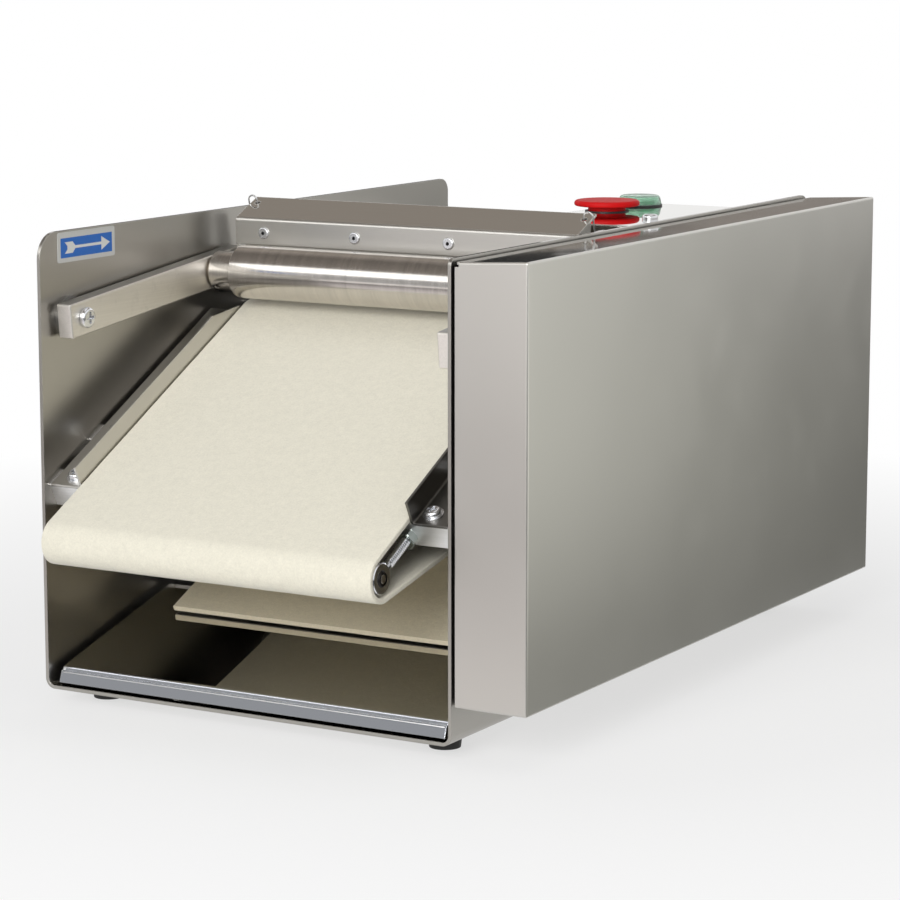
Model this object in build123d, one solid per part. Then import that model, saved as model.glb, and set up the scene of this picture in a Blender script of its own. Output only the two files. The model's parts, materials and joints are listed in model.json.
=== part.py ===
from build123d import *
from math import acos, asin, atan2, cos, pi, radians, sin, sqrt, tan
import os

os.makedirs("parts", exist_ok=True)

# Table-top dough rolling machine. Sizes are in millimetres and angles in degrees.
# While it is built, X runs across from the outside of the left panel, Y runs back from the
# panels' front edges, and Z is the height above the table. At the end every piece is moved
# alike, so that the origin is on the table under the middle of the machine.

# Folded frame and its feet
FRAME_WIDTH = 272.0
FRAME_DEPTH = 460.0
FRAME_HEIGHT = 264.0
SHEET = 2.0
FRAME_BEND = 4.0
LEFT_CORNER = 15.0
RIGHT_CORNER = 4.0
REAR_CORNER = 9.0
REAR_FLANGE = 14.0
FLANGE_LOW = 4.0
FLANGE_HIGH = 22.0
FOOT_HEIGHT = 9.0
FOOT_RADIUS = 10.0
FOOT_TAPER = 1.2
FOOT_INSET_X = 22.0
FOOT_INSET_Y = 31.0
FOOT_SINK = 4.5
FOOT_WELL = 0.6

# Fits
SCREW_FIT = 0.05
PRESS_FIT = 0.01
RUN_FIT = 0.03
ROLL_CLEAR = 0.3
SHEET_FIT = 0.3
HOLE_ROOM = 3.0
SHEET_BEND = 1.0

# Felt belt and its two rollers
BELT_SIDE_GAP = 25.5
FELT = 3.0
NOSE_DIA = 20.5
NOSE_JOURNAL = 5.0
DRIVE_DIA = 80.0
DRIVE_WALL = 5.0
DRIVE_CAP = 6.0
DRIVE_SHAFT = 15.0
BELT_OVERHANG = 2.5
BELT_CENTRES = 223.0
BELT_PITCH = 19.65
NOSE_REACH = 24.1
NOSE_HEIGHT = 94.0

# Bed, cross bars and side guides
BED_SHEET = 1.0
BED_GAP = 0.3
BED_INSET = 3.5
BED_START = 28.0
BED_STOP = 26.0
BAR = 15.0
BAR_FRONT = 37.3
BAR_STEP = 45.0
BAR_EDGE = 0.5
BAR_TAP = 4.2
GUIDE_SHEET = 1.5
GUIDE_RISE = 15.0
GUIDE_LOW = 5.0
GUIDE_TRIM = 27.0
GUIDE_STOP = 1.0
GUIDE_OVERHANG = 1.5
GUIDE_BELT_GAP = 0.8
GUIDE_WALL_GAP = 2.5
GUIDE_SCREW_INSET = 9.5
GUIDE_WASHER = 6.0
WASHER_SHEET = 0.9

# Rod ends that carry the nose roller
ROD_INSET = 4.0
EYE_DIA = 17.5
EYE_WIDTH = 6.2
BALL_DIA = 11.0
BALL_WIDTH = 8.0
ROD_DIA = 6.0
ROD_PITCH = 1.5
ROD_NECK = 12.0
ROD_LENGTH = 60.0
NUT_FLATS = 10.0
NUT_HEIGHT = 5.0
NOSE_SIDE_GAP = 0.5

# Steel roller, arms and pivots
ROLLER_DIA = 32.0
ROLLER_END_GAP = 30.7
SHOULDER_DIA = 24.0
GRUB_RADIUS = 1.6
GRUB_DEPTH = 4.0
GRUB_ANGLE = 228.0
GRUB_ALONG = 4.5
JOURNAL_DIA = 12.0
NIP_LEAN = 24.3
PIVOT_BACK = 24.7
PIVOT_HEIGHT = 214.6
ARM_THICK = 10.0
ARM_HEIGHT = 20.0
ARM_FRONT = 13.2
ARM_REAR = 27.3
ARM_EDGE = 0.6
ARM_SPACER = 2.8
SPACER_RADIUS = 12.0
SIDE_PLAY = 0.2
BUSH_RADIUS = 8.0
BUSH_FLANGE = 0.8
PIVOT_DIA = 8.0
SLOT_CLEAR = 2.0
SLOT_LIFT = 4.0
STOP_REACH = 155.0
STOP_RADIUS = 4.0

# Hood, scraper and springs
HOOD_SHEET = 1.5
HOOD_BACK = 16.2
HOOD_LOW = 15.0
HOOD_FACE = 16.0
HOOD_TOP = 26.0
HOOD_SLOPE = 24.7
HOOD_END_GAP = 16.0
HOOD_TAB = 17.0
HOOD_SCREW = 21.0
HOOD_TAB_LOW = 7.0
HOOD_SPACER = 6.0
RIVET_STEP = 65.0
RIVET_RISE = 22.3
RIVET_RADIUS = 2.0
RIVET_HEAD = 3.7
RIVET_PROUD = 1.2
RIVET_ROUND = 0.9
RIVET_TAIL = 2.9
RIVET_TAIL_LENGTH = 1.6
RIVET_HOLE = 0.9
RIVET_HOLE_DEPTH = 0.6
BLADE_SHEET = 1.0
BLADE_INSET = 6.0
BLADE_TOP = 29.0
BLADE_BEND = 14.0
BLADE_LEAN = 36.0
SPRING_X = 10.5
SPRING_WIRE = 1.0
SPRING_RADIUS = 4.0
SPRING_TURNS = 33
SPRING_TILT = 13.0
SPRING_SPAN = 66.0
SPRING_HOOK = 19.0
HOOK_BEND = 2.0
HOOK_RADIUS = 3.0
HOOK_RISE = 1.5
COIL_TOP = 8.0
COIL_FOOT = 8.5
PIN_RADIUS = 2.5
PIN_LENGTH = 16.0
PIN_SLACK = 0.3

# Gear train
GEAR_MODULE = 2.0
PRESSURE_ANGLE = 20.0
DRIVE_TEETH = 48
UPPER_TEETH = 18
IDLER_TEETH = 30
MOTOR_TEETH = 20
DRIVE_HUB = 16.0
UPPER_HUB = 11.0
IDLER_HUB = 12.0
MOTOR_HUB = 12.0
GEAR_HOLES = 5
GEAR_HOLE = 9.0
GEAR_HOLE_RING = 29.0
MESH_EXTRA = 0.1
TOOTH_SLACK = 0.3
GEAR_GAP = 8.0
GEAR_FACE = 12.0
SHAFT_PROUD = 4.0
IDLER_ANGLE = -12.0
MOTOR_ANGLE = -25.0
IDLER_PIN = 12.0
IDLER_SEAT = 10.0
IDLER_SEAT_LENGTH = 3.0
IDLER_RING = 9.0
IDLER_RING_LENGTH = 1.5
IDLER_TIP = 4.0
MOTOR_SHAFT = 12.0
BEARING_RADIUS = 25.0
BEARING_FLANGE = 4.0
BEARING_BOSS = 14.0
BEARING_LENGTH = 12.0
BEARING_SCREW = 19.5
GEARBOX_HALF = 42.0
GEARBOX_LENGTH = 56.0
GEARBOX_BORE = 30.0
GEARBOX_CORNER = 8.0
GEARBOX_TAP = 14.0
MOTOR_SCREW = 34.0
MOTOR_RADIUS = 40.0
MOTOR_LENGTH = 122.0
MOTOR_FACE = 8.0
MOTOR_BELL = 26.0
MOTOR_EDGE = 3.0
FIN_DEPTH = 4.0
FIN_COUNT = 11
FIN_START = 12.0
FIN_STEP = 7.0
FIN_WIDTH = 3.0
TERMINAL_START = 20.0
TERMINAL_LENGTH = 52.0
TERMINAL_PROUD = 16.0
TERMINAL_HALF = 20.0
TERMINAL_SUNK = 10.0

# Forming board and chute
BOARD_INSET = 31.0
BOARD_FELT = 2.5
BOARD_SHEET = 1.0
BOARD_FRONT = 81.9
BOARD_HEIGHT = 37.0
BOARD_SLOPE = 24.5
BOARD_BEND = 60.0
BOARD_BACK_GAP = 57.0
BOARD_TOP = 8.0
BOARD_BAR = 12.0
BOARD_BAR_ALONG = 50.0
BOARD_BAR_DROP = 6.0
CHUTE_SIDE_GAP = 4.5
CHUTE_SHEET = 1.2
CHUTE_FRONT = 8.5
CHUTE_RISE = 12.0
CHUTE_SLOPE = 15.3
CHUTE_RUN = 109.5
CHUTE_LIP = 9.9
CHUTE_LIP_LEAN = 20.0
CHUTE_HEM = 2.6
CHUTE_FOOT = 14.0

# Covers at the back and on the right
COVER_GAP = 2.2
COVER_WIDTH = 44.0
COVER_SHEET = 1.5
COVER_LIFT = 22.0
COVER_DROP = 1.8
COVER_RISE = 2.2
COVER_EDGE = 1.2
RELIEF = 2.4
TOP_DROP = 26.0
TOP_SHEET = 1.5
TOP_LIP = 9.0
HOOD_TO_COVER = 11.8
BRACKET_SHEET = 2.0
BRACKET_WIDTH = 16.0
BRACKET_LEG = 18.0
COVER_BRACKET = 26.0
COVER_SCREW_OUT = 13.0
COVER_SCREW_END = 60.0
COVER_SCREW_HIGH = 50.0
TOP_BRACKET = 40.0
TOP_SCREW_INSET = 33.5
TOP_SCREW_FRONT = 300.0
TOP_SCREW_REAR = 30.0
REAR_SCREW_LOW = 20.0
REAR_SCREW_HIGH = 35.0
REAR_SCREW_SIDE = 8.0
SCREW_PAST = 4.0
VENT_LENGTH = 46.0
VENT_WIDTH = 4.0
VENT_STEP = 11.0
VENT_ROWS = 7
VENT_RISE = 40.0
VENT_APART = 12.0
INLET_X = 62.0
INLET_RISE = 58.0
INLET_HALF = 14.0
INLET_HIGH = 10.0
INLET_DEPTH = 24.0
INLET_FLANGE = 24.0
INLET_FLANGE_HIGH = 13.0
INLET_FLANGE_SHEET = 2.6
INLET_CORNER = 4.0
INLET_WALL = 2.0
INLET_RECESS = 15.0
INLET_SLANT = 3.5
INLET_FIT = 0.2
INLET_PIN = 2.0
INLET_PIN_HIGH = 4.4
INLET_PIN_STEP = 7.0
INLET_PIN_OFFSET = 2.0

# Switch shelf, controls and label
SHELF_DROP = 0.2
SHELF_WIDTH = 74.0
SHELF_REAR = 354.0
SHELF_FOOT = 10.0
SHELF_EDGE = 1.0
SHELF_SCREW_IN = 9.7
SHELF_SCREW_BACK = 255.8
SHELF_BRACKET = 22.0
FOOT_SCREW_FRONT = 240.0
FOOT_SCREW_BACK = 326.0
BLOCK_HALF = 13.0
BLOCK_ROOM = 2.0
BLOCK_FLOOR = 6.0
ESTOP_INSET = 56.6
ESTOP_BACK = 290.5
ESTOP_RADIUS = 20.0
ESTOP_CAP = 3.5
ESTOP_NECK = 11.5
ESTOP_STAND = 3.4
ESTOP_TRAVEL = 4.0
ESTOP_RIM = 0.6
ESTOP_RIM_RADIUS = 13.4
STEM_RADIUS = 4.0
STEM_BELOW = 8.0
STEM_COVER = 3.0
NECK_ROOM = 0.5
BEZEL = 1.0
BEZEL_RADIUS = 14.0
BEZEL_SLEEVE = 12.6
SLEEVE_DEPTH = 9.0
BLOCK_DEPTH = 34.0
START_BACK = 335.0
START_RADIUS = 9.6
START_STAND = 3.3
START_TRAVEL = 3.0
START_EDGE = 0.8
BOOT_RADIUS = 13.6
BOOT_TOP_RADIUS = 12.2
BOOT_WALL = 1.0
BOOT_HEIGHT = 5.6
BOOT_ROUND = 1.6
LABEL_SHEET = 0.3
LABEL_FRONT = 16.7
LABEL_LENGTH = 54.8
LABEL_HEIGHT = 17.4
LABEL_DROP = 1.0

# Screws: shank radius, head radius, head height
SMALL_SCREW = (2.5, 4.75, 3.0)
LARGE_SCREW = (3.0, 6.0, 3.4)
TIE_DEPTH = 12.0

# Places that follow from the sizes above
FLOOR = FOOT_HEIGHT
FLOOR_TOP = FLOOR + SHEET
TOP = FLOOR + FRAME_HEIGHT
INNER_L = SHEET
INNER_R = FRAME_WIDTH - SHEET
MID = FRAME_WIDTH / 2
BELT_X0 = INNER_L + BELT_SIDE_GAP
BELT_X1 = INNER_R - BELT_SIDE_GAP
NOSE_IN = NOSE_DIA / 2 + ROLL_CLEAR
DRIVE_IN = DRIVE_DIA / 2 + ROLL_CLEAR
RUN_SPREAD = asin((DRIVE_IN - NOSE_IN) / BELT_CENTRES)
PITCH = radians(BELT_PITCH)
UP = PITCH + RUN_SPREAD
RUN = BELT_CENTRES * cos(RUN_SPREAD)
NOSE_Y = -NOSE_REACH
NOSE_Z = FLOOR + NOSE_HEIGHT
DRIVE_Y = NOSE_Y + BELT_CENTRES * cos(PITCH)
DRIVE_Z = NOSE_Z + BELT_CENTRES * sin(PITCH)
MESH_TOP = GEAR_MODULE * (DRIVE_TEETH + UPPER_TEETH) / 2 + MESH_EXTRA
MESH_IDLER = GEAR_MODULE * (DRIVE_TEETH + IDLER_TEETH) / 2 + MESH_EXTRA
MESH_MOTOR = GEAR_MODULE * (IDLER_TEETH + MOTOR_TEETH) / 2 + MESH_EXTRA
UPPER_Y = DRIVE_Y - MESH_TOP * sin(radians(NIP_LEAN))
UPPER_Z = DRIVE_Z + MESH_TOP * cos(radians(NIP_LEAN))
IDLER_Y = DRIVE_Y + MESH_IDLER * cos(radians(IDLER_ANGLE))
IDLER_Z = DRIVE_Z + MESH_IDLER * sin(radians(IDLER_ANGLE))
MOTOR_Y = IDLER_Y + MESH_MOTOR * cos(radians(MOTOR_ANGLE))
MOTOR_Z = IDLER_Z + MESH_MOTOR * sin(radians(MOTOR_ANGLE))
PIVOT_Y = PIVOT_BACK
PIVOT_Z = FLOOR + PIVOT_HEIGHT
ARM_ANGLE = atan2(UPPER_Z - PIVOT_Z, UPPER_Y - PIVOT_Y)
ARM_ROLLER = sqrt((UPPER_Y - PIVOT_Y) ** 2 + (UPPER_Z - PIVOT_Z) ** 2)
ARM_X0 = INNER_L + ARM_SPACER + SIDE_PLAY
ARM_X1 = ARM_X0 + ARM_THICK
BAR_TOP = NOSE_IN - BED_GAP - BED_SHEET
GUIDE_X0 = INNER_L + GUIDE_WALL_GAP
GUIDE_X1 = BELT_X0 - GUIDE_BELT_GAP
GUIDE_SCREW_X = GUIDE_X1 - GUIDE_SCREW_INSET
GUIDE_FRONT = BAR_FRONT - GUIDE_OVERHANG
GUIDE_END = RUN - GUIDE_STOP
ROD_X = BELT_X0 + ROD_INSET
HOOD_X0 = HOOD_END_GAP + INNER_L
HOOD_Y = UPPER_Y + HOOD_BACK
HOOD_BEND_Z = UPPER_Z + HOOD_LOW + HOOD_FACE
HOOD_RAKE = radians(HOOD_SLOPE)
RIDGE_Y = HOOD_Y + HOOD_TOP * cos(HOOD_RAKE)
RIDGE_Z = HOOD_BEND_Z + HOOD_TOP * sin(HOOD_RAKE)
GEAR_X0 = FRAME_WIDTH + GEAR_GAP
GEAR_X1 = GEAR_X0 + GEAR_FACE
SHAFT_END = GEAR_X1 + SHAFT_PROUD
COVER_X0 = FRAME_WIDTH + COVER_GAP
COVER_X1 = COVER_X0 + COVER_WIDTH
COVER_Z0 = FLOOR + COVER_LIFT
COVER_Z1 = TOP - COVER_DROP
PANEL_Z = TOP - TOP_DROP
PANEL_Y0 = RIDGE_Y + HOOD_TO_COVER
SHELF_Z = TOP - SHELF_DROP
SHELF_X0 = INNER_R - SHELF_WIDTH
SHELF_X1 = INNER_R - SHEET_FIT
ESTOP_X = INNER_R - ESTOP_INSET
BOARD_X0 = INNER_L + BOARD_INSET
BOARD_X1 = INNER_R - BOARD_INSET
BOARD_RAKE = radians(BOARD_SLOPE)


def block(x0, x1, y0, y1, z0, z1):
    return Pos((x0 + x1) / 2, (y0 + y1) / 2, (z0 + z1) / 2) * Box(x1 - x0, y1 - y0, z1 - z0)


def rod_x(y, z, radius, x0, x1):
    return Pos((x0 + x1) / 2, y, z) * Rot(0, 90, 0) * Cylinder(radius, x1 - x0)


def rod_y(x, z, radius, y0, y1):
    return Pos(x, (y0 + y1) / 2, z) * Rot(90, 0, 0) * Cylinder(radius, y1 - y0)


def rod_z(x, y, radius, z0, z1):
    return Pos(x, y, (z0 + z1) / 2) * Cylinder(radius, z1 - z0)


def rod_along(place, radius, start, end):
    return place * Pos(0, 0, (start + end) / 2) * Cylinder(radius, end - start)


def other_side(piece):
    return mirror(piece, about=Plane.YZ.offset(MID))


def group(solids):
    return Compound([one for piece in solids for one in piece.solids()])


def upright(points, y0, y1):
    """Solid with the given outline across the machine, from front to back."""
    front = Plane(origin=(0, y0, 0), x_dir=(1, 0, 0), z_dir=(0, -1, 0))
    return extrude(front * make_face(Polyline(*points, close=True)), amount=y1 - y0, dir=(0, 1, 0))


def prism(points, x0, x1):
    outline = make_face(Polyline(*points, close=True))
    return extrude(Plane.YZ.offset(x0) * outline, amount=x1 - x0, dir=(1, 0, 0))


def sheet_face(points, thickness, bend):
    """Section of a folded sheet: points run along one face, thickness is to their left, a
    negative one to their right, and bend is the inside radius of each fold."""
    steps = [(b[0] - a[0], b[1] - a[1]) for a, b in zip(points, points[1:])]
    sizes = [sqrt(dx * dx + dy * dy) for dx, dy in steps]
    normals = [(-dy / size, dx / size) for (dx, dy), size in zip(steps, sizes)]
    far = [(points[0][0] + thickness * normals[0][0], points[0][1] + thickness * normals[0][1])]
    near_radii = []
    far_radii = []
    for corner, a, b in zip(points[1:], normals, normals[1:]):
        scale = thickness / (1 + a[0] * b[0] + a[1] * b[1])
        far.append((corner[0] + scale * (a[0] + b[0]), corner[1] + scale * (a[1] + b[1])))
        turn = a[0] * b[1] - a[1] * b[0]
        inside = turn * thickness > 0
        near_radii.append(bend + abs(thickness) if inside else bend)
        far_radii.append(bend if inside else bend + abs(thickness))
    last = points[-1]
    far.append((last[0] + thickness * normals[-1][0], last[1] + thickness * normals[-1][1]))
    if near_radii:
        near_line = FilletPolyline(*points, radius=near_radii)
        far_line = FilletPolyline(*far, radius=far_radii)
    else:
        near_line = Polyline(*points)
        far_line = Polyline(*far)
    ends = [Line(points[0], far[0]), Line(last, far[-1])]
    return make_face(near_line.edges() + far_line.edges() + ends)


def folded(points, thickness, bend, x0, x1):
    section = sheet_face(points, thickness, bend)
    return extrude(Plane.YZ.offset(x0) * section, amount=x1 - x0, dir=(1, 0, 0))


def on_run(along, up):
    """Place beside the belt's upper run, measured from the nose roller's axis."""
    y = NOSE_Y + along * cos(UP) - up * sin(UP)
    z = NOSE_Z + along * sin(UP) + up * cos(UP)
    return (y, z)


def run_block(x0, x1, s0, s1, n0, n1):
    return prism([on_run(s0, n0), on_run(s1, n0), on_run(s1, n1), on_run(s0, n1)], x0, x1)


def run_along(x, along, up):
    y, z = on_run(along, up)
    return Plane(origin=(x, y, z), x_dir=(1, 0, 0), z_dir=(0, cos(UP), sin(UP)))


def run_normal(x, along, up):
    y, z = on_run(along, up)
    return Plane(origin=(x, y, z), x_dir=(1, 0, 0), z_dir=(0, -sin(UP), cos(UP)))


def on_arm(along, up):
    y = PIVOT_Y + along * cos(ARM_ANGLE) - up * sin(ARM_ANGLE)
    z = PIVOT_Z + along * sin(ARM_ANGLE) + up * cos(ARM_ANGLE)
    return (y, z)


def on_board(along, up):
    """Place beside the forming board, measured from the joint of felt and plate at its front."""
    y = BOARD_FRONT + BOARD_FELT * sin(BOARD_RAKE) + along * cos(BOARD_RAKE) - up * sin(BOARD_RAKE)
    z = FLOOR + BOARD_HEIGHT - BOARD_FELT * cos(BOARD_RAKE)
    z = z + along * sin(BOARD_RAKE) + up * cos(BOARD_RAKE)
    return (y, z)


def facing(x, y, z, direction):
    return Plane(origin=(x, y, z), z_dir=direction)


def pan_screw(kind, length):
    """Cross-recessed pan head screw with its head on the origin plane, shank down."""
    shank, head, height = kind
    top = Pos(0, 0, height / 2) * Cylinder(head, height)
    top = fillet(top.edges().filter_by(GeomType.CIRCLE).sort_by(Axis.Z)[-1:], height * 0.6)
    wide = head * 0.3
    long = head * 1.15
    cross = Box(long, wide, height) + Box(wide, long, height)
    return top - Pos(0, 0, height * 1.0) * cross + Pos(0, 0, -length / 2) * Cylinder(shank, length)


def hex_nut(bore):
    flats = extrude(RegularPolygon(NUT_FLATS / 2, 6, major_radius=False), amount=NUT_HEIGHT)
    corner = NUT_FLATS / 2 / cos(pi / 6)
    turned = Pos(0, 0, NUT_HEIGHT / 2) * Cylinder(corner, NUT_HEIGHT)
    turned = chamfer(turned.edges().filter_by(GeomType.CIRCLE), 0.6)
    return (flats & turned) - Pos(0, 0, NUT_HEIGHT / 2) * Cylinder(bore, 2 * NUT_HEIGHT)


# Shared places of fasteners
BAR_STARTS = [BAR_FRONT, BAR_FRONT + BAR_STEP]
BOARD_BAR_PLACE = on_board(BOARD_BAR_ALONG, -BOARD_SHEET - BOARD_BAR / 2)
BOARD_WALL_Y = DRIVE_Y + BOARD_BACK_GAP + BOARD_FELT
BOARD_POST_Y = BOARD_WALL_Y + BOARD_SHEET
BOARD_POST_Z = DRIVE_Z - BOARD_BAR_DROP
TIE_PLACES = [on_run(start + BAR / 2, BAR_TOP - BAR / 2) for start in BAR_STARTS]
TIE_PLACES += [BOARD_BAR_PLACE, (BOARD_POST_Y + BOARD_BAR / 2, BOARD_POST_Z + BOARD_BAR / 2)]
FOOT_PLACES = [(x, y) for x in (FOOT_INSET_X, FRAME_WIDTH - FOOT_INSET_X)
               for y in (FOOT_INSET_Y, FRAME_DEPTH - FOOT_INSET_Y)]
STOP_PLACE = on_arm(STOP_REACH, -ARM_HEIGHT / 2 - ROLL_CLEAR - STOP_RADIUS)
BEARING_PLACES = [(DRIVE_Y - BEARING_SCREW, DRIVE_Z), (DRIVE_Y + BEARING_SCREW, DRIVE_Z)]
MOTOR_PLACES = [(MOTOR_Y + a * MOTOR_SCREW, MOTOR_Z + b * MOTOR_SCREW)
                for a in (-1, 1) for b in (-1, 1)]
HOOD_SCREW_PLACE = on_arm(ARM_ROLLER + HOOD_SCREW, 0)
RIVET_PLACES = [MID + RIVET_STEP * (k - 1.5) for k in range(4)]
TOP_PLACES = [(x, y) for x in (INNER_L + TOP_SCREW_INSET, INNER_R - TOP_SCREW_INSET)
              for y in (TOP_SCREW_FRONT, FRAME_DEPTH - TOP_SCREW_REAR)]
SHELF_PLACE = (INNER_R - SHELF_SCREW_IN, SHELF_SCREW_BACK)
FOOT_FLANGE_PLACES = [(SHELF_X0 - SHELF_FOOT / 2, y) for y in (FOOT_SCREW_FRONT, FOOT_SCREW_BACK)]
REAR_PLACES = [(x, z) for x in (INNER_L + REAR_SCREW_SIDE, INNER_R - REAR_SCREW_SIDE)
               for z in (FLOOR_TOP + REAR_SCREW_LOW, (FLOOR_TOP + PANEL_Z) / 2, PANEL_Z - REAR_SCREW_HIGH)]
COVER_FOOT_PLACES = [COVER_SCREW_END, FRAME_DEPTH - COVER_SCREW_END]
COVER_BACK_PLACES = [COVER_Z0 + COVER_SCREW_HIGH, COVER_Z1 - COVER_SCREW_HIGH]
COVER_SCREW_X = COVER_X0 + COVER_SCREW_OUT

# Spring geometry: up points along the coil towards the hood, side points to the front
SPRING_UP = (0.0, -sin(radians(SPRING_TILT)), cos(radians(SPRING_TILT)))
SPRING_SIDE = (0.0, -SPRING_UP[2], SPRING_UP[1])
HOOK_Y = HOOD_Y + SPRING_HOOK * cos(HOOD_RAKE)
HOOK_Z = HOOD_BEND_Z + SPRING_HOOK * sin(HOOD_RAKE)
SPRING_Y = HOOK_Y - HOOK_BEND * SPRING_SIDE[1]
SPRING_Z = HOOK_Z - HOOK_BEND * SPRING_SIDE[2]
SPRING_TOP = (INNER_L + SPRING_X, SPRING_Y, SPRING_Z)


def on_spring(across, up, side):
    x = SPRING_TOP[0] + across
    y = SPRING_TOP[1] + up * SPRING_UP[1] + side * SPRING_SIDE[1]
    z = SPRING_TOP[2] + up * SPRING_UP[2] + side * SPRING_SIDE[2]
    return Vector(x, y, z)


def spring_way(across, up, side):
    return (on_spring(across, up, side) - on_spring(0, 0, 0)).normalized()


PIN_PLACE = on_spring(0, -SPRING_SPAN, 0)


def frame_shell():
    """Left side, floor and right side folded from one sheet, with return flanges at the back."""
    corners = [(0, TOP), (0, FLOOR), (FRAME_WIDTH, FLOOR), (FRAME_WIDTH, TOP)]
    section = sheet_face(corners, SHEET, FRAME_BEND)
    front = Plane(origin=(0, 0, 0), x_dir=(1, 0, 0), z_dir=(0, -1, 0))
    shell = extrude(front * section, amount=FRAME_DEPTH, dir=(0, 1, 0))
    corners = shell.edges().filter_by(Axis.X).filter_by_position(Axis.Z, TOP - 0.1, TOP + 0.1)
    front_pair = corners.sort_by(Axis.Y)[:2].sort_by(Axis.X)
    shell = fillet(front_pair[:1], LEFT_CORNER)
    corners = shell.edges().filter_by(Axis.X).filter_by_position(Axis.Z, TOP - 0.1, TOP + 0.1)
    right_front = corners.filter_by_position(Axis.Y, -0.1, 0.1)
    shell = fillet(right_front, RIGHT_CORNER)
    corners = shell.edges().filter_by(Axis.X).filter_by_position(Axis.Z, TOP - 0.1, TOP + 0.1)
    shell = fillet(corners.filter_by_position(Axis.Y, FRAME_DEPTH - 0.1, FRAME_DEPTH + 0.1), REAR_CORNER)
    flange_y1 = FRAME_DEPTH - TOP_SHEET
    flange_z0 = FLOOR_TOP + FRAME_BEND + FLANGE_LOW
    flange_z1 = PANEL_Z - FLANGE_HIGH
    flange = block(INNER_L, INNER_L + REAR_FLANGE, flange_y1 - SHEET, flange_y1, flange_z0, flange_z1)
    shell = shell + flange + other_side(flange)
    both = [(y, z, LARGE_SCREW[0] + SCREW_FIT) for y, z in TIE_PLACES]
    both += [(y, z, SMALL_SCREW[0] + SCREW_FIT) for y, z in BEARING_PLACES]
    both += [(PIVOT_Y, PIVOT_Z, ROD_DIA / 2 + SCREW_FIT)]
    both += [(PIN_PLACE.Y, PIN_PLACE.Z, PIN_RADIUS + PRESS_FIT)]
    both += [(STOP_PLACE[0], STOP_PLACE[1], STOP_RADIUS + PRESS_FIT)]
    right = [(DRIVE_Y, DRIVE_Z, DRIVE_SHAFT / 2 + HOLE_ROOM), (MOTOR_Y, MOTOR_Z, MOTOR_SHAFT / 2 + HOLE_ROOM)]
    right += [(IDLER_Y, IDLER_Z, IDLER_PIN / 2 + PRESS_FIT)]
    right += [(y, z, LARGE_SCREW[0] + SCREW_FIT) for y, z in MOTOR_PLACES]
    cuts = [rod_x(y, z, r, -1, SHEET + 1) for y, z, r in both]
    cuts += [rod_x(y, z, r, INNER_R - 1, FRAME_WIDTH + 1) for y, z, r in both + right]
    slot = JOURNAL_DIA / 2 + SLOT_CLEAR
    opening = Pos(UPPER_Z + SLOT_LIFT / 2, UPPER_Y) * SlotOverall(2 * slot + SLOT_LIFT, 2 * slot)
    upright = Plane(origin=(INNER_R - 1, 0, 0), x_dir=(0, 0, 1), z_dir=(-1, 0, 0))
    cuts += [extrude(upright * opening, amount=SHEET + 2, dir=(1, 0, 0))]
    hole = SMALL_SCREW[0] + SCREW_FIT
    cuts += [rod_z(x, y, hole, FLOOR - 1, FLOOR_TOP + 1) for x, y in FOOT_PLACES]
    cuts += [rod_y(x, z, hole, flange_y1 - SHEET - 1, flange_y1 + 1) for x, z in REAR_PLACES]
    return shell - cuts


def rubber_feet():
    feet = []
    for x, y in FOOT_PLACES:
        foot = Pos(x, y, FOOT_HEIGHT / 2) * Cone(FOOT_RADIUS - FOOT_TAPER, FOOT_RADIUS, FOOT_HEIGHT)
        foot = foot - rod_z(x, y, SMALL_SCREW[1] + FOOT_WELL, -1, FOOT_SINK)
        feet.append(foot - rod_z(x, y, SMALL_SCREW[0] + SCREW_FIT, 0, FOOT_HEIGHT + 1))
    return group(feet)


def foot_screws():
    screw = pan_screw(SMALL_SCREW, FOOT_HEIGHT - FOOT_SINK + SHEET + 2)
    return group([facing(x, y, FOOT_SINK, (0, 0, -1)) * screw for x, y in FOOT_PLACES])


def felt_belt():
    def loop(grow):
        nose = NOSE_IN + grow
        drive = DRIVE_IN + grow
        over = UP + pi / 2
        under = PITCH - RUN_SPREAD - pi / 2
        a = (NOSE_Y + nose * cos(over), NOSE_Z + nose * sin(over))
        b = (DRIVE_Y + drive * cos(over), DRIVE_Z + drive * sin(over))
        back = (DRIVE_Y + drive * cos(PITCH), DRIVE_Z + drive * sin(PITCH))
        c = (DRIVE_Y + drive * cos(under), DRIVE_Z + drive * sin(under))
        d = (NOSE_Y + nose * cos(under), NOSE_Z + nose * sin(under))
        tip = (NOSE_Y - nose * cos(PITCH), NOSE_Z - nose * sin(PITCH))
        return make_face([Line(a, b), ThreePointArc(b, back, c), Line(c, d), ThreePointArc(d, tip, a)])

    band = Plane.YZ.offset(BELT_X0) * (loop(FELT) - loop(0))
    return extrude(band, amount=BELT_X1 - BELT_X0, dir=(1, 0, 0))


def drive_roller():
    """Welded tube with end discs on a through shaft that carries the drive gear."""
    x0 = BELT_X0 + BELT_OVERHANG
    x1 = BELT_X1 - BELT_OVERHANG
    radius = DRIVE_DIA / 2
    tube = rod_x(DRIVE_Y, DRIVE_Z, radius, x0, x1)
    tube = chamfer(tube.edges().filter_by(GeomType.CIRCLE), 0.8)
    tube = tube - rod_x(DRIVE_Y, DRIVE_Z, radius - DRIVE_WALL, x0 + DRIVE_CAP, x1 - DRIVE_CAP)
    return tube + rod_x(DRIVE_Y, DRIVE_Z, DRIVE_SHAFT / 2, INNER_L + 1, SHAFT_END)


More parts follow.
